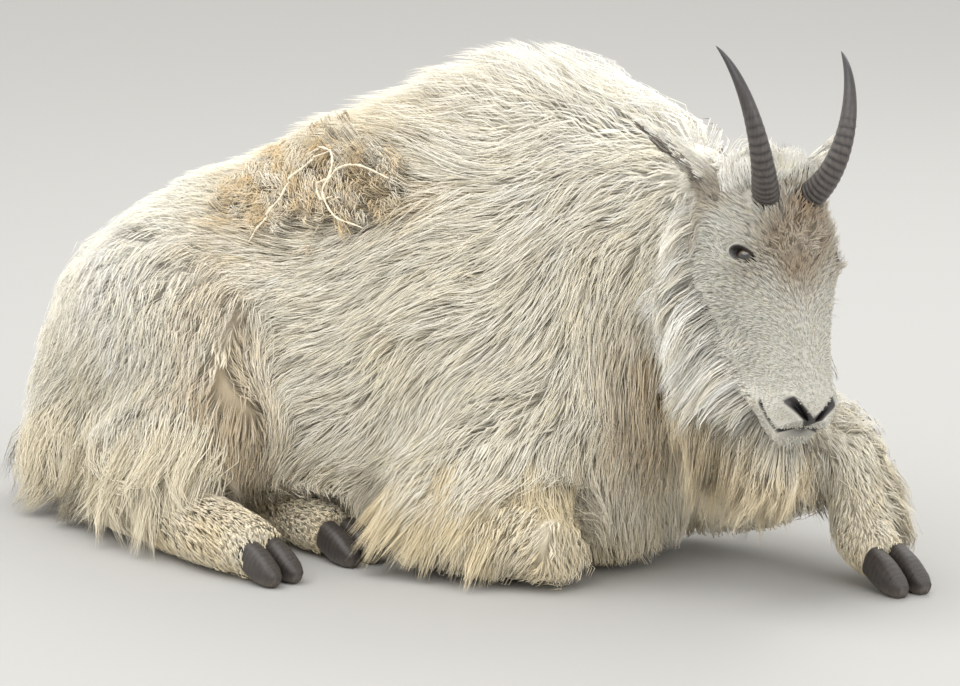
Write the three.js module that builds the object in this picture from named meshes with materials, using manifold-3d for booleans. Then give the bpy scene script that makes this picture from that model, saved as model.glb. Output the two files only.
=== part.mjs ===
// A mountain goat lying down with its head up, life size, in millimetres.
// +X points forward along the trunk, +Y to the animal's left and +Z up, and the floor is Z = 0.
// The origin is the middle of the flat on which the chest rests.
// Each part of the body is a core of flesh and dense under coat, and flat tapered locks grow out of it.
import * as THREE from "three";
import { mergeVertices } from "three/addons/utils/BufferGeometryUtils.js";
import Module from "manifold-3d";

const wasm = await Module();
wasm.setup();
const Solid = wasm.Manifold;

const v3 = (x, y, z) => new THREE.Vector3(x, y, z);
const clamp = THREE.MathUtils.clamp;
const lerp = THREE.MathUtils.lerp;

// Driving dimensions
const PART_GAP = 0.35; // kept between neighbouring parts
const CORE_SHARE = 0.45; // how far the core reaches from the skin towards the tips of the locks
const RIGHT = -1; // the animal's right side looks along -Y
const LEFT = 1;

// The head: its joint with the neck, and the way that it faces
const POLL = v3(241, -36.5, 501);
const FACING = THREE.MathUtils.degToRad(-34); // turned to the right of the trunk
const NOD = THREE.MathUtils.degToRad(50); // how far the face points below the horizon
const ROLL = THREE.MathUtils.degToRad(10); // the crown leans to the animal's left
const EYE = {
  f: 113, out: 57, u: 34, radius: 15, lid: 3, long: 1.3, opening: [16, 7.5, 14], shift: 13, forward: 0.5,
  slit: [0.87, -0.3, 0.38],
};
const degrees = THREE.MathUtils.degToRad;
const HORN = {
  f: 50, out: 28, u: 66, arc: 208, sunk: 13, thick: 16.8, deep: 19.5, rings: 9, ringed: 0.52, notch: 0.9,
  lean: degrees(51), bend: degrees(72), spread: degrees(22), close: degrees(8),
};
const EAR = {
  f: 22, out: 54, u: 12, length: 142, sunk: 12, wide: 26, thick: 10, wall: 1.8, cup: 0.8,
  lateral: 0.69, back: 0.3, up: 0.6, openAhead: -0.05, openDown: 1.1,
};
const EAR_OUTLINE = (t) => 0.8 * (1 - t) ** 0.55 * (1 + 1.3 * t * (1 - t)); // share of its greatest width
const NOSTRIL = { f: 301, out: 17, u: -3, halves: [12, 4.5, 7] };
// Half of the line of the mouth from its corner to the front of the lips: f, distance from the middle, u
const MOUTH = [
  [270, 34, -43],
  [286, 32, -43],
  [300, 25, -42],
  [310, 16, -40],
  [317, 7, -38],
  [318, 0, -37],
];
const LIPS = { gap: 1.7, deep: 6, clear: 9, corner: 6 };
const LOCK = { lowest: 3, sink: 18, rootsAbove: 34, steps: 3 };

// A hoof: the heel and the tip of its middle line, and how far each claw stands from that line
const HOOVES = {
  front_left: { heel: v3(367, 83, 35), tip: v3(424, 59, 12), offset: 17 },
  front_right: { heel: v3(-132, -90, 30), tip: v3(-190, -88, 22), offset: 15 },
  hind_right: { heel: v3(-292, -328, 36), tip: v3(-236, -342, 14), offset: 17 },
  hind_left: { heel: v3(-272, -188, 32), tip: v3(-216, -206, 14), offset: 16 },
};
// Rows along a claw: share from heel to tip, half width, reach above and reach below
const CLAW = [
  [0, 14, 20, 20],
  [0.45, 15, 19, 22],
  [0.85, 13, 12, 18],
  [1.05, 8, 6, 12],
];

// Masses

// A rounded form along a smooth path. Each station is
// [x, y, z, half width, reach above the path, reach below it, coat at the sides, coat on top, coat below].
class Mass {
  constructor({ stations, round = 0.5, square = 2, up = v3(0, 0, 1), rings = 5, sides = 10, caps = 1,
    share = CORE_SHARE, relief = null, facing = null }) {
    Object.assign(this, { round, square, up, rings, sides, caps, share, relief, facing });
    const through = (points) => new THREE.CatmullRomCurve3(points, false, "centripetal");
    this.path = through(stations.map(([x, y, z]) => v3(x, y, z)));
    this.path.arcLengthDivisions = 60;
    this.values = [3, 4, 5, 6, 7, 8].map((k) =>
      through(stations.map((s, i) => v3(i * 100, s[k] ?? s[6] ?? 0, 0))));
    this.samples = Array.from({ length: 25 }, (_, i) => this.frame(i / 24));
    this.step = this.path.getLength() / 24;
  }

  // The section at share t of the path, between its first and its last station.
  frame(t) {
    const s = clamp(t, 0, 1);
    const along = this.facing ?? this.path.getTangent(s);
    const side = new THREE.Vector3().crossVectors(this.up, along).normalize();
    const rise = new THREE.Vector3().crossVectors(along, side).normalize();
    const [wide, above, below, coat, crest, fringe] = this.values.map((c) => c.getPoint(s).y);
    return { middle: this.path.getPoint(s), along, side, rise, wide, above, below, coat, crest, fringe };
  }

  // Where the core lies at share t of the path and an angle round it, 0 on its left and 90 degrees on top.
  // t runs on past both ends, where the form closes as an ellipse does.
  surface(t, angle, margin = 0) {
    const f = this.frame(t);
    const c = Math.cos(angle);
    const s = Math.sin(angle);
    const grow = this.share * lerp(f.coat, s > 0 ? f.crest : f.fringe, s * s) + margin;
    const cap = this.round * Math.min(f.wide, f.above + f.below) + grow;
    const past = t < 0 ? -t : Math.max(0, t - 1);
    const shrink = Math.sqrt(Math.max(0, 1 - past * past));
    const power = 2 / this.square;
    const across = Math.sign(c) * Math.abs(c) ** power * (f.wide + grow) * shrink;
    const upwards = Math.sign(s) * Math.abs(s) ** power * ((s > 0 ? f.above : f.below) + grow) * shrink;
    const place = f.middle.clone()
      .addScaledVector(f.along, Math.sign(t - 0.5) * past * cap)
      .addScaledVector(f.side, across)
      .addScaledVector(f.rise, upwards);
    if (!this.relief) return place;
    const out = place.clone().sub(f.middle).normalize();
    return place.addScaledVector(out, this.relief(place));
  }

  // The core as a solid.
  solid(margin = 0) {
    const { caps } = this;
    const shares = [];
    for (let i = caps; i >= 1; i--) shares.push(-Math.sin((i / (caps + 1)) * Math.PI / 2));
    for (let i = 0; i <= this.rings; i++) shares.push(i / this.rings);
    for (let i = 1; i <= caps; i++) shares.push(1 + Math.sin((i / (caps + 1)) * Math.PI / 2));
    const points = [this.surface(-1, 0, margin)];
    for (const t of shares) {
      for (let k = 0; k < this.sides; k++) {
        points.push(this.surface(t, (k / this.sides) * 2 * Math.PI, margin));
      }
    }
    points.push(this.surface(2, 0, margin));
    return lathed(points, shares.length, this.sides);
  }

  // Roughly how far a point lies outside the core, and less than nothing inside it.
  distance(point) {
    let best = Infinity;
    const offset = new THREE.Vector3();
    for (const f of this.samples) {
      offset.subVectors(point, f.middle);
      const rise = offset.dot(f.rise);
      const across = offset.dot(f.side);
      const s2 = rise * rise / Math.max(1, rise * rise + across * across);
      const grow = this.share * lerp(f.coat, rise > 0 ? f.crest : f.fringe, s2);
      const cap = this.round * Math.min(f.wide, f.above + f.below) + grow;
      const a = across / (f.wide + grow);
      const b = rise / ((rise > 0 ? f.above : f.below) + grow);
      const c = offset.dot(f.along) / Math.max(cap, this.step);
      const r = Math.max(0.05, Math.hypot(a, b, c));
      best = Math.min(best, offset.length() * (1 - 1 / r));
    }
    return best;
  }
}

// A closed triangle mesh as a solid, turned the right way out.
function solidOf(points, faces) {
  const vertProperties = new Float32Array(points.flatMap((p) => [p.x, p.y, p.z]));
  const made = (list) => {
    const triVerts = new Uint32Array(list.flat());
    return new Solid(new wasm.Mesh({ numProp: 3, vertProperties, triVerts }));
  };
  const first = made(faces);
  return first.volume() > 0 ? first : made(faces.map(([a, b, c]) => [a, c, b]));
}

// Rings of points between a first and a last single point, joined into one closed skin.
function lathed(points, rings, sides) {
  const faces = [];
  const at = (ring, k) => 1 + ring * sides + (k % sides);
  const end = points.length - 1;
  for (let k = 0; k < sides; k++) {
    faces.push([0, at(0, k + 1), at(0, k)]);
    for (let r = 0; r + 1 < rings; r++) {
      faces.push([at(r, k), at(r, k + 1), at(r + 1, k + 1)]);
      faces.push([at(r, k), at(r + 1, k + 1), at(r + 1, k)]);
    }
    faces.push([end, at(rings - 1, k), at(rings - 1, k + 1)]);
  }
  return solidOf(points, faces);
}

// A three.js geometry as a solid.
function solidFrom(geometry) {
  const bare = geometry.clone();
  bare.deleteAttribute("normal");
  bare.deleteAttribute("uv");
  const merged = mergeVertices(bare, 1e-3);
  return new Solid(new wasm.Mesh({
    numProp: 3,
    vertProperties: merged.attributes.position.array,
    triVerts: new Uint32Array(merged.index.array),
  }));
}

// Trunk, neck and tail

const trunk = new Mass({
  stations: [
    [-725, -35, 205, 90, 92, 120, 45, 42, 50],
    [-650, -30, 225, 135, 142, 180, 45, 42, 35],
    [-550, -20, 240, 160, 184, 225, 45, 42, 20],
    [-430, -10, 250, 172, 210, 248, 45, 42, 12],
    [-300, -5, 258, 180, 242, 262, 50, 70, 12],
    [-160, 0, 264, 172, 295, 270, 50, 80, 12],
    [-50, 0, 266, 148, 305, 272, 55, 85, 12],
    [30, 0, 270, 112, 270, 262, 55, 85, 20],
    [78, -10, 290, 70, 190, 165, 55, 80, 55],
  ],
  rings: 13, sides: 16, caps: 2, round: 0.45, square: 2.15, facing: v3(1, 0, 0),
});
const neck = new Mass({
  stations: [
    [-30, 0, 385, 100, 140, 170, 55, 90, 60],
    [65, -4, 425, 86, 138, 165, 50, 90, 70],
    [140, -12, 460, 62, 104, 125, 42, 76, 70],
    [195, -24, 490, 44, 60, 85, 35, 60, 60],
  ],
  rings: 5, sides: 12, round: 0.4,
});
const tail = new Mass({
  stations: [
    [-740, -40, 298, 26, 22, 20, 30, 30, 25],
    [-772, -46, 248, 24, 18, 16, 35, 35, 30],
    [-792, -52, 188, 16, 12, 12, 35, 35, 30],
  ],
  rings: 4, sides: 8,
});

// Legs, each as one mass a bone

const armRight = new Mass({
  stations: [
    [8, -74, 240, 55, 60, 85, 50, 50, 50],
    [-60, -113, 165, 52, 62, 75, 50, 50, 50],
    [-130, -158, 95, 40, 45, 48, 50, 40, 30],
  ],
  up: v3(1, 0, 0.6),
});
const forearmRight = new Mass({
  stations: [
    [-135, -160, 84, 40, 45, 42, 50, 40, 30],
    [-40, -166, 76, 36, 38, 42, 45, 35, 25],
    [52, -166, 64, 31, 32, 40, 16, 14, 14],
  ],
});
const cannonRight = new Mass({
  stations: [
    [42, -150, 42, 24, 26, 26, 12, 12, 8],
    [-20, -120, 32, 20, 20, 22, 12, 12, 8],
    [-85, -95, 30, 24, 22, 24, 14, 14, 8],
    [-125, -90, 32, 20, 20, 22, 10, 10, 6],
  ],
  share: 1,
});
const forearmLeft = new Mass({
  stations: [
    [30, 125, 125, 52, 65, 62, 55, 45, 50],
    [150, 138, 140, 44, 50, 48, 60, 40, 55],
    [272, 132, 165, 35, 36, 34, 35, 18, 30],
  ],
});
const cannonLeft = new Mass({
  stations: [
    [278, 130, 164, 32, 30, 30, 30, 16, 26],
    [310, 113, 108, 24, 23, 24, 26, 14, 22],
    [332, 96, 57, 28, 26, 30, 16, 12, 16],
    [364, 85, 37, 26, 22, 26, 10, 8, 10],
  ],
});
const thighRight = new Mass({
  stations: [
    [-656, -95, 222, 82, 104, 120, 45, 40, 45],
    [-585, -130, 240, 85, 132, 140, 45, 40, 45],
    [-480, -165, 240, 72, 110, 115, 45, 40, 40],
    [-400, -190, 235, 50, 72, 72, 40, 35, 40],
  ],
});
const shankRight = new Mass({
  stations: [
    [-410, -195, 215, 48, 60, 60, 40, 35, 40],
    [-500, -215, 130, 45, 55, 60, 50, 40, 45],
    [-585, -230, 62, 32, 34, 36, 50, 30, 20],
  ],
  up: v3(-1, 0, 1),
});
const footRight = new Mass({
  stations: [
    [-585, -232, 54, 32, 36, 40, 26, 24, 14],
    [-480, -268, 44, 29, 30, 34, 26, 24, 10],
    [-360, -312, 42, 33, 32, 38, 20, 20, 6],
    [-285, -330, 38, 28, 26, 34, 10, 10, 4],
  ],
});
const thighLeft = new Mass({
  stations: [
    [-680, 40, 170, 85, 110, 130, 45, 40, 40],
    [-570, 90, 150, 90, 110, 120, 45, 40, 30],
    [-460, 150, 125, 70, 80, 100, 45, 40, 30],
    [-400, 175, 110, 50, 60, 75, 45, 40, 30],
  ],
});
const footLeft = new Mass({
  stations: [
    [-520, -90, 45, 28, 30, 34, 18, 16, 12],
    [-420, -125, 36, 24, 24, 28, 16, 14, 10],
    [-325, -168, 34, 28, 26, 30, 14, 14, 8],
    [-280, -185, 32, 26, 22, 26, 10, 10, 8],
  ],
  share: 1,
});

const breech = new Mass({
  stations: [
    [-668, -88, 252, 70, 76, 60, 50, 40, 45],
    [-700, -110, 150, 62, 68, 50, 50, 45, 45],
    [-708, -138, 62, 46, 58, 34, 50, 45, 40],
  ],
  up: v3(-1, 0, 0.2),
});

// Head, in its own directions: f down the face, u out of the brow and l to the animal's left

const ahead = v3(Math.cos(FACING), Math.sin(FACING), 0);
const down = v3(0, 0, -1);
const F = ahead.clone().multiplyScalar(Math.cos(NOD)).addScaledVector(down, Math.sin(NOD));
const U = ahead.clone().multiplyScalar(Math.sin(NOD)).addScaledVector(down, -Math.cos(NOD));
U.applyAxisAngle(F, -ROLL);
const L = new THREE.Vector3().crossVectors(U, F).normalize();
const onHead = (f, l, u) => POLL.clone().addScaledVector(F, f).addScaledVector(L, l).addScaledVector(U, u);
const inHead = (p) => {
  const q = p.clone().sub(POLL);
  return { f: q.dot(F), l: q.dot(L), u: q.dot(U) };
};

// Each row runs down the head: f, height of the middle, half width, brow line above it, jaw line below it
const HEAD_ROWS = [
  [-8, 8, 48, 42, 62, 12],
  [28, 5, 58, 60, 84, 14],
  [72, 0, 62, 68, 100, 16],
  [115, -6, 62, 64, 98, 15],
  [160, -10, 53, 54, 82, 12],
  [210, -16, 43, 47, 68, 8],
  [258, -22, 38, 41, 56, 6],
  [290, -25, 35, 36, 48, 4],
  [309, -28, 28, 24, 38, 3],
];
const head = new Mass({
  stations: HEAD_ROWS.map(([f, u, wide, above, below, coat]) => {
    const p = onHead(f, 0, u);
    return [p.x, p.y, p.z, wide, above, below, coat, 5, coat];
  }),
  rings: 17, sides: 18, caps: 3, share: 1, round: 0.42, square: 2.2, up: U,
  relief: (p) => faceRelief(inHead(p)),
});


// A soft bump or hollow on the head: its place, its half widths along f, l and u, and its height.
const bump = (q, f, l, u, wf, wl, wu, height) =>
  height * Math.exp(-(((q.f - f) / wf) ** 2 + ((Math.abs(q.l) - l) / wl) ** 2 + ((q.u - u) / wu) ** 2));

// The height of the face above its plain form.
const faceRelief = (q) =>
  bump(q, 94, 50, 52, 18, 18, 14, 10) // brow over the eye
  + bump(q, EYE.f, 60, EYE.u, 15, 30, 11, -7) // eye socket
  + bump(q, 138, 56, 8, 34, 30, 16, 4) // cheek bone
  + bump(q, 176, 42, -20, 40, 26, 20, -4) // hollow under the cheek bone
  + bump(q, 150, 0, 60, 34, 20, 20, 3) // forehead
  + bump(q, 235, 0, 40, 46, 14, 18, 3) // bridge of the nose
  + bump(q, 58, HORN.out, 66, 22, 18, 20, 7) // ring of skin round the horn
  + bump(q, 294, 27, 2, 14, 10, 12, 5) // wing of the nostril
  + bump(q, 300, 22, -28, 24, 18, 8, 4) // upper lip
  + bump(q, 314, 0, -62, 24, 24, 15, 8); // chin

// Horns, ears, eyes and hooves

// The course of a horn: it leans forward at its root and bends back and inwards to its tip.
function hornPath(side) {
  const steps = 24;
  const points = [];
  const place = onHead(HORN.f, side * HORN.out, HORN.u);
  const stride = (HORN.arc + HORN.sunk) / steps;
  for (let i = 0; i <= steps; i++) {
    const s = i / steps;
    const lean = lerp(HORN.lean, -HORN.bend, s);
    const spread = lerp(HORN.spread, HORN.close, s);
    points.push(place.clone());
    place.addScaledVector(v3(0, 0, 1), stride * Math.cos(lean))
      .addScaledVector(ahead, stride * Math.sin(lean))
      .addScaledVector(L, side * stride * Math.tan(spread));
  }
  return new THREE.CatmullRomCurve3(points);
}

// A horn with raised rings, close together at its root and wider apart further out.
function horn(side, margin) {
  const path = hornPath(side);
  const sides = 8;
  const stops = [];
  for (let i = 0; i <= HORN.rings; i++) {
    const ring = HORN.sunk / (HORN.arc + HORN.sunk) + HORN.ringed * (i / HORN.rings) ** 1.25;
    stops.push([ring, -HORN.notch], [ring + 0.45 * HORN.ringed / HORN.rings, HORN.notch]);
  }
  const bare = stops.at(-1)[0];
  for (let i = 1; i <= 5; i++) stops.push([lerp(bare, 0.985, i / 5), 0]);
  stops.unshift([0, 0]);
  const points = [path.getPoint(0).addScaledVector(path.getTangent(0), -margin)];
  for (const [t, wave] of stops) {
    const along = path.getTangent(t);
    const across = new THREE.Vector3().crossVectors(along, ahead).normalize();
    const fore = new THREE.Vector3().crossVectors(across, along).normalize();
    const taper = (1 - t) ** 0.72;
    for (let k = 0; k < sides; k++) {
      const angle = (k / sides) * 2 * Math.PI;
      points.push(path.getPoint(t)
        .addScaledVector(across, Math.cos(angle) * (HORN.thick * taper + wave * taper + margin))
        .addScaledVector(fore, Math.sin(angle) * (HORN.deep * taper + wave * taper + margin)));
    }
  }
  points.push(path.getPoint(1).addScaledVector(path.getTangent(1), margin));
  return lathed(points, stops.length, sides);
}

// An ear is a long leaf, thick at its root and bowed further out into a cup that opens outwards.
function ear(side, margin) {
  const root = onHead(EAR.f, side * EAR.out, EAR.u);
  const axis = v3(0, 0, EAR.up)
    .addScaledVector(L, side * EAR.lateral)
    .addScaledVector(ahead, -EAR.back)
    .normalize();
  const open = L.clone().multiplyScalar(side)
    .addScaledVector(down, EAR.openDown)
    .addScaledVector(ahead, EAR.openAhead);
  open.addScaledVector(axis, -open.dot(axis)).normalize();
  const wide = new THREE.Vector3().crossVectors(axis, open).normalize();
  const sides = 12;
  const rings = 8;
  const points = [root.clone().addScaledVector(axis, -EAR.sunk - margin)];
  for (let i = 0; i < rings; i++) {
    const t = i / rings;
    const width = EAR.wide * EAR_OUTLINE(t);
    const cup = THREE.MathUtils.smoothstep(t, 0.1, 0.4);
    const half = lerp(EAR.thick, EAR.wall, cup) * (1 - t) ** 0.4;
    for (let k = 0; k < sides; k++) {
      const angle = (k / sides) * 2 * Math.PI;
      const c = Math.cos(angle);
      const s = Math.sin(angle);
      points.push(root.clone()
        .addScaledVector(axis, lerp(-EAR.sunk, EAR.length, t))
        .addScaledVector(wide, c * (width + 3 * margin))
        .addScaledVector(open, s * (half + 3 * margin) - cup * EAR.cup * width * (1 - c * c)));
    }
  }
  points.push(root.clone().addScaledVector(axis, EAR.length + margin));
  return lathed(points, rings, sides);
}

// An eyeball.
function eye(side, margin) {
  const centre = onHead(EYE.f, side * EYE.out, EYE.u);
  const ball = new THREE.SphereGeometry(EYE.radius + margin, 12, 8);
  return solidFrom(ball.translate(centre.x, centre.y, centre.z));
}

// An egg-shaped solid with its three half lengths along three axes.
function egg(axes, halves, place, around, rows) {
  const turned = new THREE.Matrix4()
    .makeBasis(...axes.map((axis, i) => axis.clone().multiplyScalar(halves[i])))
    .setPosition(place);
  return solidFrom(new THREE.SphereGeometry(1, around, rows).rotateX(Math.PI / 2).applyMatrix4(turned));
}

// Three axes at right angles: the first as given, the third as near to `out` as it can be.
function axesFrom(first, out) {
  const third = out.clone().addScaledVector(first, -out.dot(first)).normalize();
  return [first, new THREE.Vector3().crossVectors(third, first), third];
}

// The lids of an eye: a rounded swelling over the eyeball with an almond-shaped opening between them.
function lids(side, margin) {
  const centre = onHead(EYE.f, side * EYE.out, EYE.u);
  const slit = F.clone().multiplyScalar(EYE.slit[0])
    .addScaledVector(L, EYE.slit[1] * side)
    .addScaledVector(U, EYE.slit[2])
    .normalize();
  const axes = axesFrom(slit, L.clone().multiplyScalar(side).addScaledVector(U, EYE.forward));
  const around = EYE.radius + EYE.lid + margin;
  const before = centre.clone().addScaledVector(axes[2], EYE.shift);
  return egg(axes, [around * EYE.long, around, around], centre, 12, 8)
    .subtract(egg(axes, EYE.opening.map((half) => half - margin), before, 10, 6));
}

// The hollow of a nostril, a slit that runs down and towards the middle of the nose.
function nostril(side) {
  const slit = F.clone().addScaledVector(L, -1.1 * side).addScaledVector(U, -0.35).normalize();
  const axes = axesFrom(slit, U.clone().addScaledVector(F, 0.9).addScaledVector(L, 0.5 * side));
  const place = onHead(NOSTRIL.f, side * NOSTRIL.out, NOSTRIL.u);
  return egg(axes, NOSTRIL.halves, place, 8, 6);
}

// The slit between the lips, from one corner of the mouth round its front to the other.
function mouth() {
  const half = new THREE.CatmullRomCurve3(MOUTH.map((p) => v3(...p)));
  const course = [];
  for (let i = 0; i <= 6; i++) course.push(half.getPoint(i / 6));
  for (let i = 5; i >= 0; i--) course.push(course[i].clone().multiply(v3(1, -1, 1)));
  const place = (p, away, rise) => {
    const out = new THREE.Vector2(0.5 * (p.x - MOUTH[0][0]), p.y).normalize();
    return onHead(p.x + out.x * away, p.y + out.y * away, p.z + rise);
  };
  const rings = course.flatMap((p) => [
    place(p, LIPS.clear, 0), place(p, 0, LIPS.gap), place(p, -LIPS.deep, 0), place(p, 0, -LIPS.gap),
  ]);
  const corner = (p) => place(p, 0, 0).addScaledVector(F, -LIPS.corner);
  return lathed([corner(course[0]), ...rings, corner(course.at(-1))], course.length, 4);
}

// One of the two claws of a hoof, between a point on the sole and the tip.
function claw({ heel, tip, offset }, side, margin) {
  const along = tip.clone().sub(heel).normalize();
  const out = new THREE.Vector3().crossVectors(v3(0, 0, 1), along).setLength(side * offset);
  const stations = CLAW.map(([t, wide, above, below]) => {
    const p = heel.clone().lerp(tip, t).add(out);
    return [p.x, p.y, p.z, wide, above, below];
  });
  return new Mass({ stations, rings: 3, sides: 8, round: 0.35, square: 2.6 }).solid(margin);
}

// Locks

// Numbers between 0 and 1 that come out the same on every run.
function dice(seed) {
  let state = seed;
  return () => {
    state = (state + 0x6d2b79f5) | 0;
    let t = Math.imul(state ^ (state >>> 15), 1 | state);
    t = (t + Math.imul(t ^ (t >>> 7), 61 | t)) ^ t;
    return ((t ^ (t >>> 14)) >>> 0) / 4294967296;
  };
}

const BODY = [trunk, neck, tail, armRight, forearmRight, cannonRight, forearmLeft, cannonLeft,
  thighRight, shankRight, footRight, thighLeft, footLeft, breech, head];

// How far a point lies outside the cores of the body, and the mass that it lies nearest to.
function above(point) {
  let best = { distance: Infinity, mass: null };
  for (const mass of BODY) {
    const distance = mass.distance(point);
    if (distance < best.distance) best = { distance, mass };
  }
  return best;
}

// The direction that leads straight out of the body.
function outwards(point) {
  const here = above(point).distance;
  const slope = ["x", "y", "z"].map((axis) => {
    const moved = point.clone();
    moved[axis] += 2;
    return above(moved).distance - here;
  });
  return v3(...slope).normalize();
}

// How long the coat is at a point, from the section of the mass nearest to it.
function coatAt(mass, point) {
  let nearest = mass.samples[0];
  for (const f of mass.samples) {
    if (f.middle.distanceToSquared(point) < nearest.middle.distanceToSquared(point)) nearest = f;
  }
  const offset = point.clone().sub(nearest.middle);
  const rise = offset.dot(nearest.rise) / Math.max(1, offset.length());
  return lerp(nearest.coat, rise > 0 ? nearest.crest : nearest.fringe, rise * rise);
}

// The spine of a lock that leaves the core and is combed along the lie of the coat, with the way out at
// each step.
function combed(root, mass, { lie, length, sink, sway, steps }, draw) {
  const spine = [];
  const bend = (draw() - 0.5) * sway;
  const reach = length * lerp(0.85, 1.2, draw());
  const top = Math.max(6, (1 - mass.share) * coatAt(mass, root)) * lerp(0.95, 1.2, draw());
  let place = root.clone();
  for (let i = 0; i <= steps; i++) {
    const s = i / steps;
    const out = outwards(place);
    const way = lie(place, out).clone();
    way.addScaledVector(out, -way.dot(out)).normalize();
    const across = new THREE.Vector3().crossVectors(out, way).normalize();
    const lift = lerp(-sink, top, Math.sin(s * Math.PI / 2) ** 0.9) - above(place).distance;
    const at = place.clone().addScaledVector(out, lift);
    at.z = Math.max(at.z, LOCK.lowest);
    spine.push({ at, out: spine.length ? out.clone().lerp(spine.at(-1).out, 0.4) : out });
    place = place.clone().addScaledVector(way, reach / steps).addScaledVector(across, bend * s);
  }
  return spine;
}

// The spine of a lock that hangs free from a root in the core.
function hung(root, { fall, length, sway, steps }, draw) {
  const spine = [];
  const reach = length * lerp(0.8, 1.15, draw());
  const way = fall(root).clone().normalize();
  const out = outwards(root).addScaledVector(ahead, 0.3);
  out.addScaledVector(way, -out.dot(way)).normalize();
  const across = new THREE.Vector3().crossVectors(way, out).normalize();
  const bend = (draw() - 0.5) * sway;
  for (let i = 0; i <= steps; i++) {
    const s = i / steps;
    const at = root.clone()
      .addScaledVector(way, reach * s - LOCK.sink * (1 - s))
      .addScaledVector(across, bend * s * s)
      .addScaledVector(out, -10 * s * s);
    at.z = Math.max(at.z, LOCK.lowest);
    spine.push({ at, out });
  }
  return spine;
}

// Half widths and half depths of a lock at the steps of its spine, as shares of the greatest.
const OUTLINE = [0.65, 1, 0.7];
const BODY_OF_LOCK = [1, 1, 0.65];

// The points of a flat tapered lock on its spine: a root, rings of two edges and a ridge, and a tip.
function lockPoints(spine, width, thick, margin) {
  const last = spine.length - 1;
  const rings = spine.slice(0, last).map(({ at, out }, i) => {
    const along = spine[i + 1].at.clone().sub(spine[Math.max(i - 1, 0)].at).normalize();
    const across = new THREE.Vector3().crossVectors(out, along).normalize();
    const rise = new THREE.Vector3().crossVectors(along, across).normalize();
    const half = width / 2 * OUTLINE[i] + 4 * margin;
    const deep = thick / 2 * BODY_OF_LOCK[i] + 1.5 * margin;
    const under = at.clone().addScaledVector(rise, -deep);
    return [
      under.clone().addScaledVector(across, half),
      at.clone().addScaledVector(rise, deep),
      under.clone().addScaledVector(across, -half),
    ];
  });
  const first = spine[1].at.clone().sub(spine[0].at).normalize();
  const tip = spine[last].at.clone().sub(spine[last - 1].at).normalize();
  return [
    spine[0].at.clone().addScaledVector(first, -6 - margin),
    ...rings.flat(),
    spine[last].at.clone().addScaledVector(tip, margin),
  ];
}

// Whether every face of such a lock looks away from its own middle, so that it never crosses itself.
function sound(points) {
  const rings = (points.length - 2) / 3;
  const at = (ring, k) => points[1 + ring * 3 + (k % 3)];
  const middle = (list) => list.reduce((sum, p) => sum.add(p), v3(0, 0, 0)).divideScalar(list.length);
  const turn = (a, b, c, centre) => {
    const normal = b.clone().sub(a).cross(c.clone().sub(a));
    return normal.dot(a.clone().sub(centre)) > 1;
  };
  for (let r = 0; r + 1 < rings; r++) {
    const centre = middle([0, 1, 2].flatMap((k) => [at(r, k), at(r + 1, k)]));
    for (let k = 0; k < 3; k++) {
      if (!turn(at(r, k), at(r, k + 1), at(r + 1, k + 1), centre)) return false;
      if (!turn(at(r, k), at(r + 1, k + 1), at(r + 1, k), centre)) return false;
    }
  }
  const root = middle([points[0], at(0, 0), at(0, 1), at(0, 2)]);
  const tip = middle([points.at(-1), at(rings - 1, 0), at(rings - 1, 1), at(rings - 1, 2)]);
  return [0, 1, 2].every((k) => turn(points[0], at(0, k + 1), at(0, k), root)
    && turn(points.at(-1), at(rings - 1, k), at(rings - 1, k + 1), tip));
}

function lock({ spine, thick }, width, margin) {
  return lathed(lockPoints(spine, width, thick, margin), spine.length - 1, 3);
}

// The width that a lock can have without crossing itself where it bends, or 0 where there is none.
function fitting(hair) {
  for (let width = hair.width; width > hair.width / 3; width *= 0.85) {
    const clean = (margin) => sound(lockPoints(hair.spine, width, hair.thick, margin));
    if (!clean(0) || !clean(PART_GAP)) continue;
    if (lock(hair, width, 0).subtract(lock(hair, width, PART_GAP)).volume() < 0.01) return width;
  }
  return 0;
}

// Places on the cores of some masses that are no nearer to each other than a spacing.
function scattered(masses, spacing, allowed, draw) {
  const chosen = [];
  const areas = masses.map((m) => {
    const f = m.frame(0.5);
    return (m.step * 24 + f.wide) * (f.wide + f.above + f.below);
  });
  const whole = areas.reduce((a, b) => a + b, 0);
  for (let tries = 0; tries < 1600; tries++) {
    let pick = draw() * whole;
    const mass = masses.find((m, i) => (pick -= areas[i]) <= 0) ?? masses[0];
    const root = mass.surface(lerp(-0.7, 1.7, draw()), draw() * 2 * Math.PI);
    if (chosen.some((c) => c.root.distanceTo(root) < spacing)) continue;
    if (above(root).distance < -5 || root.z < LOCK.rootsAbove || !allowed(root)) continue;
    chosen.push({ root, mass });
  }
  return chosen;
}

// The parts

// The lie of the coat: back along the body, and the more down the less a place faces up.
const sweep = (fall, rise) => (p, out) =>
  v3(-1, 0, rise * Math.max(0, out.z) - fall * clamp(1 - out.z, 0, 1.3));
const fallTo = (x, y, z) => () => v3(x, y, z);

// Combed locks over some masses.
function coat(masses, seed, { spacing, lie, length, width, thick = 13, sway = 40, allowed = () => true }) {
  const draw = dice(seed);
  return scattered(masses, spacing, allowed, draw).map(({ root, mass }) => ({
    spine: combed(root, mass, { lie, length, sink: LOCK.sink, sway, steps: LOCK.steps }, draw),
    width: width * lerp(0.85, 1.15, draw()),
    thick,
  }));
}

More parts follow.
